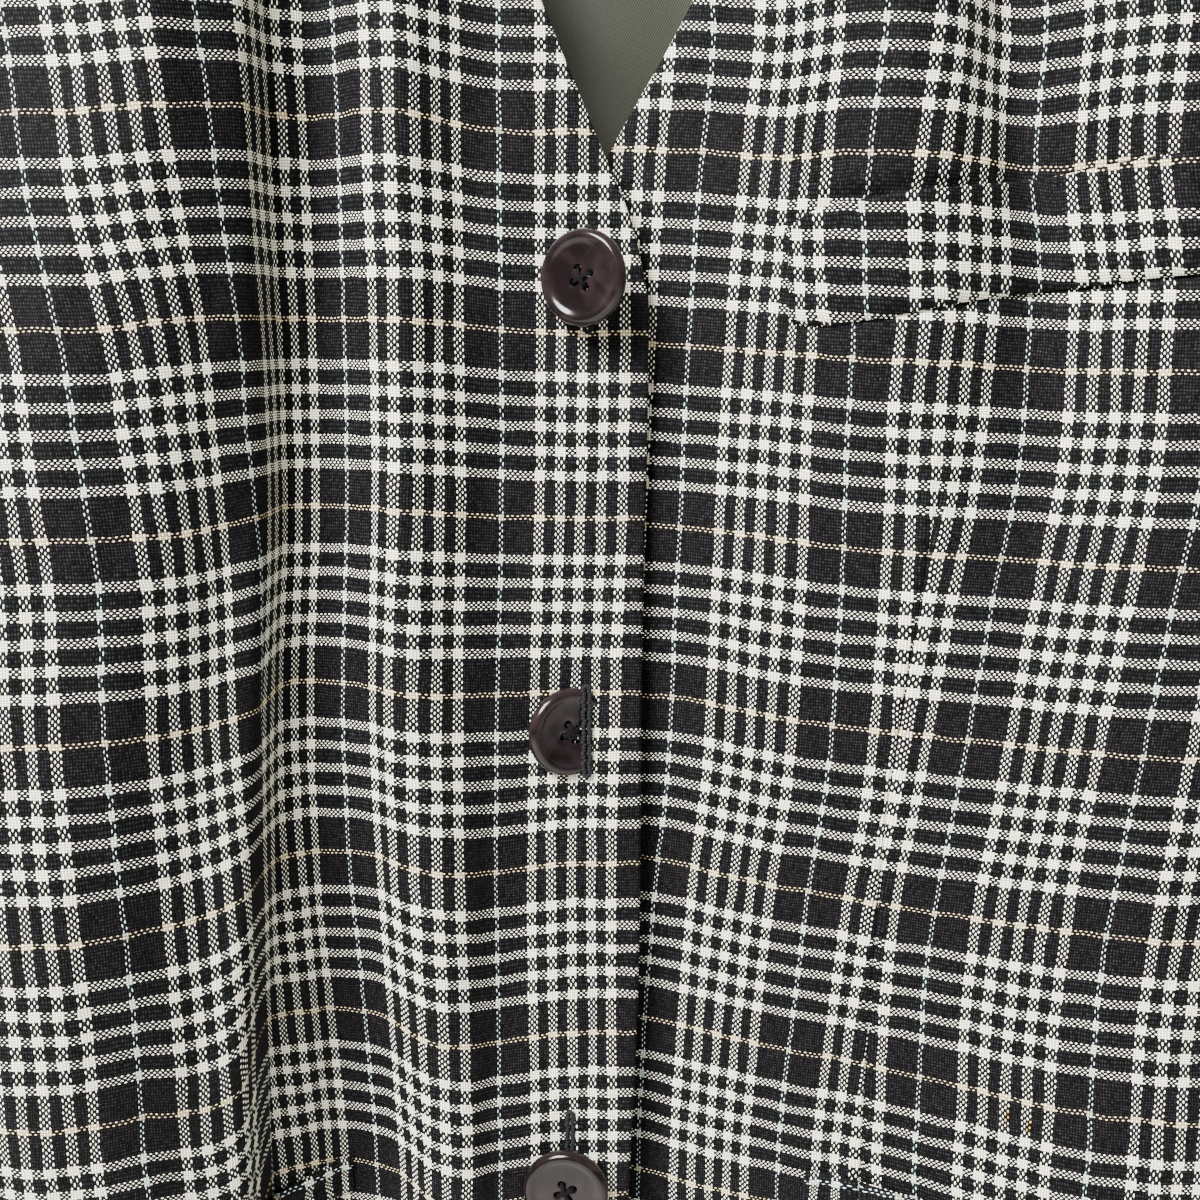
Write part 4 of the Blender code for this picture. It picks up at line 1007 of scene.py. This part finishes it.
def sleeve_grid(side, label):
    """Rings of a sleeve, from the armhole over its head to the cuff."""
    ring_z = np.concatenate([SHOULDER_Z - np.array(RIDGE_ROWS[:-1]),
                             np.linspace(SHOULDER_Z - RIDGE_ROWS[-1], UNDERARM_Z, ARMHOLE_ROWS)])
    behind = back_half(side, label, ring_z)[2]
    ring = np.concatenate([outer_edge(label, ring_z), behind[-2:0:-1]])
    length = np.cumsum(np.linalg.norm(np.roll(ring, -1, axis=0) - ring, axis=1))
    length = np.concatenate([[0], length])
    first = length[len(ring_z) - 1]
    back_turn = 1 + (length[:-1] - first) / (length[-1] - first)
    angle = np.where(length[:-1] <= first, length[:-1] / first, back_turn) * math.pi
    upper = 0.5 + 0.5 * np.cos(angle)

    def section(z):
        """Rings of the hanging sleeve at heights: ovals, their outermost point first."""
        x, y, across, deep = (by_height(z, {s["z"]: s[key] for s in SLEEVE_SECTIONS})[:, None]
                              for key in ("x", "y", "across", "deep"))
        swell = sleeve_relief(angle[None, :], z[:, None])
        return np.stack([side * (x + (across + swell) * np.cos(angle)), y - (deep + swell) * np.sin(angle),
                         z[:, None] + 0 * angle], axis=-1)

    out = np.stack([np.full(len(ring), float(side)), 0 * angle, -SHOULDER_SLOPE * upper**2], axis=-1)
    out /= np.linalg.norm(out, axis=1, keepdims=True)
    start = ring + out * SLEEVE_GAP
    biceps = section(np.array([SLEEVE_SECTIONS[0]["z"]]))[0]
    leave = start + out * (CAP_REACH[0] + (CAP_REACH[1] - CAP_REACH[0]) * upper)[:, None]
    fall = CAP_FALL[0] + (CAP_FALL[1] - CAP_FALL[0]) * upper
    arrive = biceps + np.stack([0 * fall, 0 * fall, fall], axis=-1)
    t = np.linspace(0, 1, CAP_ROWS)[:, None, None]
    cap = (1 - t) ** 3 * start + 3 * (1 - t) ** 2 * t * leave + 3 * (1 - t) * t**2 * arrive + t**3 * biceps
    tube = section(np.linspace(SLEEVE_SECTIONS[0]["z"], SLEEVE_SECTIONS[-1]["z"] + CLOTH / 2, TUBE_ROWS)[1:])
    return np.concatenate([cap, tube])


def make_sleeve(side, label):
    """One sleeve; its check runs round it from the underarm and down from the biceps."""
    points = sleeve_grid(side, label)
    under = ARMHOLE_ROWS + len(RIDGE_ROWS) - 2
    points = np.roll(points, -under, axis=1)
    ring = points[CAP_ROWS - 1]
    around = np.cumsum(np.linalg.norm(np.roll(ring, -1, axis=0) - ring, axis=1))
    begin = np.concatenate([[0], around[:-1]])
    step = np.linalg.norm(np.diff(points[:CAP_ROWS], axis=0), axis=-1)
    rise = np.concatenate([np.cumsum(step[::-1], axis=0)[::-1], np.zeros((1, len(begin)))])
    level = np.concatenate([ring[:, 2] + rise, points[CAP_ROWS:, :, 2]]) - TAN_Z
    near = np.stack([begin + 0 * level, level], axis=-1)
    far = near.copy()
    far[:, 0, 0] = around[-1]
    piece = shell(f"sleeve_{label}_cloth", points, near, far, CLOTH, CHECK, closed=True,
                  replaces=(f"sleeve_{label}",), slot="check_cloth")
    return {"piece": piece, "round": float(around[-1]), "area": cut_area(points)}


sleeves = {label: make_sleeve(side, label) for side, label in ((-1, "right"), (1, "left"))}
print("sleeves are", [round(s["round"], 3) for s in sleeves.values()], "m round at the biceps")

# %% [markdown]
# ## Welt and jets
# The chest pocket has a welt: a folded strip sewn down at its lower edge and both ends, its upper edge
# free. The lower pockets have two jets each, narrow rolled strips on both sides of the slit, cut on the
# cross. Each is a sheet on the front's own points, moved out along the front's normals, with its own
# relief: sunk at a seam, a little proud where the edge is free.

# %% Laid strips
LAID_THICK = 0.0012
LAID_LIFT = CLOTH / 2 + LAID_THICK / 2 + 0.0001
POCKET_U = 0.067
POCKET_LONG = 0.130
POCKET_Z = -0.609
POCKET_FALL = 0.010
JET_HIGH = 0.0046
JET_GAP = 0.0006
JET_ROLL = 0.0007          # a jet is rounded towards the slit and sunk at its seam
JET_SUNK = 0.0005
WELT_GAPE = 0.0011         # how far its free edge stands off where it gapes most, and everywhere
WELT_OFF = 0.0003
WELT_SWELL = 0.0004
WELT_SUNK = 0.0010         # at its seam and at both ends
WELT_END = 0.0008
WELT_LEAN = 0.13           # its check leans a little against that of the front


def on_front(label, u, z, lift):
    """Points over a front at U and z, moved out along its normals."""
    form = fronts[label]
    points = form.place(u, z, small_relief(label, u, z, np.full_like(z[:, :1], -LAP)))
    return points + grid_normals(points) * form.side * lift[..., None]


def chest_welt():
    """Welt: its share along and its share up, with a free upper edge that stands off a little."""
    along, up = np.meshgrid(np.linspace(0, 1, 88), np.linspace(1, 0, 26))
    foot = WELT_Z + WELT_RISE * along + by_height(along, WELT_FOOT) / 1000
    head = WELT_Z + WELT_RISE * along + by_height(along, WELT_TOP) / 1000
    u = WELT_U + WELT_LONG * along
    z = foot + (head - foot) * up
    gape = WELT_GAPE * bell(along - 0.30, 0.22) + WELT_OFF
    lift = LAID_LIFT + gape * up**3 + WELT_SWELL * np.sin(math.pi * up) - WELT_SUNK * bell(up, 0.05)
    lift = lift - WELT_END * (bell(along, 0.012) + bell(1 - along, 0.012))
    flat = check_place("left", u, z, 1.0 * (u > by_height(z, DARTS["left"])))
    flat = flat + np.stack([WELT_LEAN * (z - WELT_Z) - 0.0030, 0 * z + 0.0010], axis=-1)
    return shell("chest_welt_cloth", on_front("left", u, z, lift), flat, flat, LAID_THICK, CHECK,
                 replaces=("chest_welt",), slot="check_cloth")


def pocket_jet(label, name, level):
    """Jet: a rolled strip beside the slit, cut on the cross."""
    along, up = np.meshgrid(np.linspace(0, 1, 120), np.linspace(1, 0, 9))
    u = POCKET_U + POCKET_LONG * along
    z = POCKET_Z - POCKET_FALL * along - level * (JET_HIGH + JET_GAP) - JET_HIGH * (1 - up)
    towards_slit = 1 - up if level == 0 else up
    roll = np.sin(math.pi * np.clip(0.25 + 0.85 * towards_slit, 0, 1))
    lift = LAID_LIFT + JET_ROLL * roll - JET_SUNK * (1 - towards_slit) ** 4
    flat = np.stack([z - POCKET_Z + 0.002 + 0.009 * level, u], axis=-1)
    return shell(f"jet_{name}_{label}_cloth", on_front(label, u, z, lift), flat, flat, LAID_THICK, CHECK,
                 replaces=(f"jet_{name}_{label}",), slot="check_cloth")


welt_piece = chest_welt()
jets = {label: [pocket_jet(label, name, level) for level, name in enumerate(("upper", "lower"))]
        for label in ("right", "left")}

# %% [markdown]
# ## Polished resin
# The buttons are turned from cast polyester sheet, dyed aubergine with smoky streaks, and tumbled until
# they shine. A noise stretched through itself gives streaks like those of the poured sheet.

# %% Button resin
WARP_SCALE = 90.0          # slow swirls of about a centimetre bend the streaks
WARP_BY = 0.016
STREAK_SCALE = 150.0


def button_resin():
    """Cast polyester: streaks of a warped noise, under a clear polish."""
    finish, tree, shader = new_finish("cast polyester resin", Roughness=0.16, Specular_IOR_Level=0.12,
                                      Coat_Weight=0.07, Coat_Roughness=0.04)
    place = add_node(tree, "ShaderNodeTexCoord", None, "Object")
    warp = add_node(tree, "ShaderNodeTexNoise", None, "Color", Vector=place, Scale=WARP_SCALE, Detail=1.0)
    bent = add_node(tree, "ShaderNodeVectorMath", {"operation": "SCALE"}, i0=warp, Scale=WARP_BY)
    streak = add_node(tree, "ShaderNodeTexNoise", Vector=vector_maths(tree, "ADD", place, bent),
                      Scale=STREAK_SCALE, Detail=3.0)
    share = maths(tree, "MULTIPLY_ADD", streak, 2.6, -1.0, use_clamp=True)
    colour = mix_colour(tree, share, (*linear("#0c0809"), 1), (*linear("#1c1517"), 1))
    tree.links.new(colour, shader.inputs["Base Color"])
    return finish


RESIN = button_resin()
print("resin streaks about", round(1000 / STREAK_SCALE, 1), "mm wide")

# %% [markdown]
# ## Buttons
# Each button is turned: one profile carried round its axis. The face is a shallow dish, the rim a soft
# roll and the back nearly flat. Four sewing holes are cut with a Boolean, which is quicker than a grid
# that winds round them. The mesh is built straight in its place, so its object stays at the origin.

# %% Turned buttons
BUTTON_LINE = ((0.0, 0.90), (3.4, 0.92), (6.4, 1.02), (8.2, 1.28), (9.4, 1.72), (10.3, 1.66), (11.05, 1.05),
               (11.5, -0.2), (11.15, -1.05), (10.2, -1.48), (7.5, -1.6), (3.5, -1.6), (0.0, -1.6))
BUTTON_STEPS = 96
LINE_STEPS = 66
HOLE_R = 0.00105
HOLE_OUT = 0.0024          # from the button's axis
HOLE_TURN = 25
LIP_WIDE = 1.25            # the face sinks round each hole, in hole radii and metres
LIP_DEEP = 0.00035
DRILL_HALF = 0.006
DRILL_SIDES = 20
SHARP_FROM = 42            # degrees between faces that makes an edge sharp
BUTTON_SEATS = (
    {"node": "button_1", "x": 0.0019, "z": -0.3750, "yaw": -28.0, "proud": 0.0081},
    {"node": "button_2", "x": -0.0015, "z": -0.4880, "yaw": 24.0, "proud": 0.0016},
    {"node": "button_3", "x": -0.0032, "z": -0.6133, "yaw": -6.0, "proud": 0.0051},
)


def seat_matrix(seat):
    """Turns +Z of a button to face the viewer and carries it to its seat."""
    swing = by_height(np.array([seat["z"]]), CENTRE_SWING)
    cloth = fronts["right"].place((swing - seat["x"])[None, :], np.array([[seat["z"]]]))[0, 0]
    place = Matrix.Translation((seat["x"], cloth[1] - seat["proud"], seat["z"]))
    yaw = Matrix.Rotation(math.radians(seat["yaw"]), 4, "Z")
    return place @ yaw @ Matrix.Rotation(math.radians(90), 4, "X")


def moved(points, matrix):
    """Points carried by a matrix."""
    matrix = np.array(matrix)
    return points @ matrix[:3, :3].T + matrix[:3, 3]


def ring_faces(rows, sides, turned_over=False):
    """Quads between closed rings of points, and fans to the two end points that come after the rings."""
    number = np.arange(rows * sides).reshape(rows, sides)
    ahead = np.roll(number, -1, axis=1)
    quads = np.stack([number[:-1], number[1:], ahead[1:], ahead[:-1]], -1).reshape(-1, 4)
    end = np.full(sides, rows * sides)
    fans = np.concatenate([np.stack([end, number[0], ahead[0]], -1),
                           np.stack([end + 1, ahead[-1], number[-1]], -1)])
    if turned_over:
        quads = quads[:, [0, 3, 2, 1]]
        fans = fans[:, [0, 2, 1]]
    return quads.tolist() + fans.tolist()


def lathe(line, steps):
    """A profile of radius and height, from pole to pole, carried round +Z; each pole is one point."""
    angle = np.linspace(0, 2 * math.pi, steps + 1)[:-1]
    radius, height = line[1:-1].T
    body = np.stack([radius[:, None] * np.cos(angle), radius[:, None] * np.sin(angle),
                     height[:, None] + 0 * angle], axis=-1)
    poles = np.array([[0, 0, line[0, 1]], [0, 0, line[-1, 1]]])
    return np.concatenate([body.reshape(-1, 3), poles]), ring_faces(len(radius), steps)


def hole_centres():
    """Centres of the four sewing holes on the button's face."""
    angle = np.radians(HOLE_TURN + 90 * np.arange(4))
    return np.stack([HOLE_OUT * np.cos(angle), HOLE_OUT * np.sin(angle)], axis=-1)


def make_button(seat):
    """Turned form, with its holes cut and their lips eased."""
    marks = np.array(BUTTON_LINE) / 1000
    way = np.concatenate([[0], np.cumsum(np.linalg.norm(np.diff(marks, axis=0), axis=1))])
    line = spline(np.linspace(0, way[-1], LINE_STEPS), way, marks)
    line[0, 0] = line[-1, 0] = 0
    points, faces = lathe(line, BUTTON_STEPS)
    lips = sum(bell(np.hypot(*(points[:, :2] - centre).T), HOLE_R * LIP_WIDE) for centre in hole_centres())
    points[:, 2] -= np.where(points[:, 2] > 0, LIP_DEEP, 0) * np.clip(lips, 0, 1)
    seat_at = seat_matrix(seat)
    piece = add_mesh(f"{seat['node']}_resin", moved(points, seat_at), faces, None, RESIN,
                     replaces=(seat["node"],), slot="button_resin")
    wall = np.array([[0, 1], [HOLE_R, 1], [HOLE_R, 0], [HOLE_R, -1], [0, -1]]) * (1, DRILL_HALF)
    drill, drill_faces = lathe(wall, DRILL_SIDES)
    cutters = []
    for x, y in hole_centres():
        mesh = bpy.data.meshes.new("drill")
        mesh.from_pydata(moved(drill + (x, y, 0), seat_at), [], drill_faces)
        cutters.append(bpy.data.objects.new("drill", mesh))
        bpy.context.scene.collection.objects.link(cutters[-1])
        cut = piece.modifiers.new("hole", "BOOLEAN")
        cut.object = cutters[-1]
    bpy.context.view_layer.update()
    ready = bpy.data.meshes.new_from_object(piece.evaluated_get(bpy.context.evaluated_depsgraph_get()))
    piece.modifiers.clear()
    piece.data = ready
    for cutter in cutters:
        bpy.data.objects.remove(cutter, do_unlink=True)
    ready.shade_smooth()
    ready.set_sharp_from_angle(angle=math.radians(SHARP_FROM))


for seat in BUTTON_SEATS:
    make_button(seat)

# %% [markdown]
# ## Thread
# The buttons are sewn on with dark polyester thread, crossed over the face from hole to hole, and each
# buttonhole is edged with purl stitches of the same thread. A thread is a round section carried along a
# path, its ends closed.

# %% Thread tube
THREAD_R = 0.00022
TWIST_SCALE = 3200.0       # specks of about a third of a millimetre


def sewing_thread(name, deep, pale):
    """Spun polyester thread: nearly black and dull, its twist as fine specks."""
    finish, tree, shader = new_finish(name, Roughness=0.85, Specular_IOR_Level=0.04)
    place = add_node(tree, "ShaderNodeTexCoord", None, "Object")
    twist = add_node(tree, "ShaderNodeTexNoise", Vector=place, Scale=TWIST_SCALE)
    colour = mix_colour(tree, twist, (*linear(deep), 1), (*linear(pale), 1))
    tree.links.new(colour, shader.inputs["Base Color"])
    return finish


THREAD = sewing_thread("spun polyester thread", "#030303", "#0e0e10")
print("thread", THREAD_R * 2000, "mm thick")


def tube(path, radius, sides=8):
    """Round section carried along a path, with end points that close it: points and faces."""
    path = np.asarray(path, float)
    along = np.gradient(path, axis=0)
    along /= np.linalg.norm(along, axis=1, keepdims=True)
    guide = np.array([0.31, 0.17, 0.94])
    first = np.cross(along, guide)
    first /= np.linalg.norm(first, axis=1, keepdims=True)
    second = np.cross(along, first)
    angle = np.linspace(0, 2 * math.pi, sides + 1)[:-1]
    radius = np.broadcast_to(radius, len(path))
    ring = first[:, None] * np.cos(angle)[:, None] + second[:, None] * np.sin(angle)[:, None]
    body = path[:, None] + ring * radius[:, None, None]
    return np.concatenate([body.reshape(-1, 3), path[[0, -1]]]), ring_faces(len(path), sides, True)


def joined(parts):
    """Several sets of points and faces as one."""
    start = np.cumsum([0] + [len(points) for points, made in parts])
    faces = [[k + first for k in face] for (points, made), first in zip(parts, start) for face in made]
    return np.concatenate([points for points, made in parts]), faces


# %% Button threads
CROSS_STRANDS = (-0.00030, 0.0, 0.00030)
CROSS_LOW = 0.00095        # height of a strand's ends over the button's middle plane
CROSS_HIGH = 0.00055       # rise of the first diagonal, and how much more the second rises over it
CROSS_MORE = 0.00035
CROSS_DIVE = 0.0022        # how far a strand's ends go down into the holes


def button_threads(seat):
    """Three strands over each diagonal of the holes: a low hump that dives into both holes."""
    centres = hole_centres()
    t = np.linspace(0, 1, 15)[:, None]
    strands = []
    for k, (start, end) in enumerate(((centres[0], centres[2]), (centres[1], centres[3]))):
        way = end - start
        side_step = np.array([-way[1], way[0]]) / np.hypot(*way)
        for off in CROSS_STRANDS:
            flat = start + way * (0.5 - 0.5 * np.cos(math.pi * t)) + side_step * off
            hump = CROSS_LOW + (CROSS_HIGH + CROSS_MORE * k) * np.sin(math.pi * t)
            hump = hump - CROSS_DIVE * (2 * np.abs(t - 0.5)) ** 6
            strands.append(tube(moved(np.concatenate([flat, hump], axis=1), seat_matrix(seat)), THREAD_R))
    add_mesh(f"{seat['node']}_thread", *joined(strands), None, THREAD)


for seat in BUTTON_SEATS:
    button_threads(seat)

# %% [markdown]
# ## Buttonholes
# The holes are upright slits, 22 to 27 mm long, and each is worked all round with purl stitches over a cord.
# The cord's path is a slit with two round ends. Its section swells and shrinks with each stitch. The middle
# button sits askew in its hole, so the hole's far side lies over the button.

# %% Purled buttonholes
BUTTONHOLES = (
    {"name": "upper", "x": 0.0030, "top": -0.3632, "foot": -0.3868, "lift": 0.0002},
    {"name": "middle", "x": 0.0026, "top": -0.4767, "foot": -0.4990, "lift": 0.0011},
    {"name": "lower", "x": -0.0020, "top": -0.5936, "foot": -0.6206, "lift": 0.0002},
)
PURL_APART = 0.00075       # from the slit's line to the middle of the purl cord
PURL_R = 0.00062
PURL_THIN = 0.72           # share of the radius between stitches, and what a stitch adds
PURL_KNOT = 0.34
PURL_STITCH = 0.00085
PURL_STEPS = 260


def purled_hole(hole):
    """Cord round a slit: two straight sides and two half circles; its radius is a wave along its length."""
    turn = np.linspace(0, math.pi, 13)[1:-1]
    rise = np.linspace(hole["foot"], hole["top"], PURL_STEPS)
    side = np.full(PURL_STEPS, PURL_APART)
    out = np.concatenate([side, PURL_APART * np.cos(turn), -side, -PURL_APART * np.cos(turn), [PURL_APART]])
    up = np.concatenate([rise, hole["top"] + PURL_APART * np.sin(turn), rise[::-1],
                         hole["foot"] - PURL_APART * np.sin(turn), [hole["foot"]]])
    out = out + 0.00016 * np.sin(up * 1900) + 0.0001 * np.sin(up * 4700 + out * 900)
    swing = by_height(up, CENTRE_SWING)
    at = fronts["right"].place((swing - hole["x"] - out)[:, None], up[:, None])[:, 0]
    at[:, 1] -= CLOTH / 2 + hole["lift"]
    way = np.concatenate([[0], np.cumsum(np.linalg.norm(np.diff(at, axis=0), axis=1))])
    knots = np.abs(np.sin(math.pi * way / PURL_STITCH + 0.6 * np.sin(way * 900)))
    print(hole["name"], "hole", round((hole["top"] - hole["foot"]) * 1000, 1), "mm")
    cord = tube(at, PURL_R * (PURL_THIN + PURL_KNOT * knots), 10)
    add_mesh(f"buttonhole_{hole['name']}_purl", *cord, None, PURL)


PURL = sewing_thread("purl twist", "#040405", "#1f1f21")
for hole in BUTTONHOLES:
    purled_hole(hole)

# %% [markdown]
# ## Hanger
# A plain moulded hanger: two arms that slope with the shoulders and end in rounded tips, and a hook in one
# with them. The arms are oval sections joined from tip to tip, and the hook is a round rod carried along
# its stem and its bow.

# %% Hanger
HANGER_GAP = 0.0006        # from the arms to the cloth over them
HANGER_TIP = 0.190
HANGER_DEEP = (0.007, 0.012)    # half sizes of the arm's section at the middle and at the tips
HANGER_HIGH = (0.013, 0.009)
HANGER_BEND = 0.020        # rounds the top where the arms meet
HANGER_LEAN = 0.0012
HANGER_END = 0.010
HOOK_R = 0.021             # to the middle of its rod
HOOK_ROD = 0.0038
HOOK_FROM = -50            # degrees round the bow
HOOK_TO = 205
GRAIN_SCALE = 1400.0       # grain of the mould, under a millimetre
PATCH_SCALE = 24.0
HOOK_STEM = ((0.0, -0.104), (0.0, -0.064), (0.0015, -0.051), (0.0070, -0.0405))


def moulded_plastic():
    """Injection-moulded polypropylene: black, satin, with a fine spark-eroded grain."""
    finish, tree, shader = new_finish("moulded polypropylene", Roughness=0.42, Specular_IOR_Level=0.3)
    place = add_node(tree, "ShaderNodeTexCoord", None, "Object")
    grain = add_node(tree, "ShaderNodeTexNoise", Vector=place, Scale=GRAIN_SCALE)
    patch = add_node(tree, "ShaderNodeTexNoise", Vector=place, Scale=PATCH_SCALE)
    colour = mix_colour(tree, patch, (*linear("#0e0e0f"), 1), (*linear("#18181a"), 1))
    tree.links.new(colour, shader.inputs["Base Color"])
    bump = add_node(tree, "ShaderNodeBump", Strength=0.25, Distance=0.00006, Height=grain)
    tree.links.new(bump, shader.inputs["Normal"])
    return finish


MOULDED = moulded_plastic()


def hanger_arms():
    """Oval sections from tip to tip, whose ends shrink to a point on a quarter circle."""
    x = HANGER_TIP * np.sin(np.linspace(-math.pi / 2, math.pi / 2, 121))
    share = np.abs(x) / HANGER_TIP
    deep = HANGER_DEEP[0] + (HANGER_DEEP[1] - HANGER_DEEP[0]) * share
    high = HANGER_HIGH[0] + (HANGER_HIGH[1] - HANGER_HIGH[0]) * share
    end = np.sqrt(1 - np.clip((np.abs(x) - HANGER_TIP + HANGER_END) / HANGER_END, 0, 1) ** 2)
    bent = np.sqrt(x**2 + HANGER_BEND**2) - HANGER_LEAN
    centre = shoulder_line(bent) - CLOTH / 2 - HANGER_GAP - high
    angle = np.linspace(0, 2 * math.pi, 41)[:-1]
    deep = deep * end
    high = high * end
    body = np.stack([x[:, None] + 0 * angle, deep[:, None] * np.sin(angle),
                     centre[:, None] + high[:, None] * np.cos(angle)], axis=-1)[1:-1]
    tips = np.array([[x[0], 0, centre[0]], [x[-1], 0, centre[-1]]])
    return np.concatenate([body.reshape(-1, 3), tips]), ring_faces(*body.shape[:2])


def hook():
    """Round rod up the stem and round the bow; its tip shrinks on a quarter circle."""
    turn = np.radians(np.linspace(HOOK_FROM, HOOK_TO, 60))
    bow = np.stack([HOOK_R * np.cos(turn), HOOK_ROD - HOOK_R + HOOK_R * np.sin(turn)], axis=-1)
    marks = np.concatenate([np.array(HOOK_STEM), bow])
    way = np.concatenate([[0], np.cumsum(np.linalg.norm(np.diff(marks, axis=0), axis=1))])
    at = np.concatenate([np.linspace(0, way[-1] - HOOK_ROD, 150)[:-1],
                         way[-1] - HOOK_ROD * (1 - np.sin(np.linspace(0, math.pi / 2, 9)))])
    line = spline(at, way, marks)
    past = ((at - way[-1] + HOOK_ROD) / HOOK_ROD).clip(0, 1)
    radius = HOOK_ROD * np.sqrt(np.clip(1 - past**2, 0.0004, 1))
    return tube(np.stack([line[:, 0], 0 * at, line[:, 1]], axis=-1), radius, 24)


hanger_piece = add_mesh("hanger_moulding", *joined([hanger_arms(), hook()]), None, MOULDED,
                        replaces=("hanger",), slot="hanger_plastic")

# %% [markdown]
# ## Cut areas
# Cloth has a cut size. Here the area of each sheet's grid is worked out and printed.

# %% Sheets
for sleeve in sleeves.values():
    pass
areas = [piece["area"] for piece in (*sheets.values(), *sleeves.values())]
print("areas, m2:", np.round([*areas, cut_area(back), cut_area(lining_points)], 4))

# %% [markdown]
# ## Stage
# A pale floor, a broad window of light from the upper left, a weak fill from the right and two softboxes
# behind, so that the back can be looked at too.

# %% Floor and light
FLOOR_Z = -1.15
PAINT = new_finish("pale matt paint", Roughness=0.9, Base_Color=(*linear("#e9e8e4"), 1))[0]
LIT_POINT = (0, 0, -0.45)

ground = bpy.data.meshes.new("floor")
ground.from_pydata([(x, y, FLOOR_Z) for x, y in ((-4, -4), (4, -4), (4, 4), (-4, 4))], [], [(0, 1, 2, 3)])
ground.materials.append(PAINT)
floor = bpy.data.objects.new("floor", ground)
bpy.context.scene.collection.objects.link(floor)

world = bpy.data.worlds.new("studio")
world.use_nodes = True
world.node_tree.nodes["Background"].inputs["Color"].default_value = (0.93, 0.95, 1.0, 1)
world.node_tree.nodes["Background"].inputs["Strength"].default_value = 0.08
bpy.context.scene.world = world


def softbox(name, at, size, power, colour):
    """A square area light that faces the middle of the blazer."""
    lamp = bpy.data.lights.new(name, "AREA")
    lamp.size = size
    lamp.energy = power
    lamp.color = colour
    node = bpy.data.objects.new(name, lamp)
    node.location = at
    node.rotation_euler = (Vector(LIT_POINT) - Vector(at)).to_track_quat("-Z", "Y").to_euler()
    bpy.context.scene.collection.objects.link(node)
    print(name, power, "W")


softbox("window", (-0.85, -1.3, 0.95), 0.9, 430, (1.0, 0.985, 0.96))
softbox("fill", (2.0, -1.0, 0.5), 1.2, 4, (0.95, 0.975, 1.0))
softbox("rear left", (1.5, 1.7, 0.5), 1.3, 72, (1.0, 0.99, 0.97))
softbox("rear right", (-1.6, 1.5, 0.4), 1.3, 45, (0.97, 0.985, 1.0))
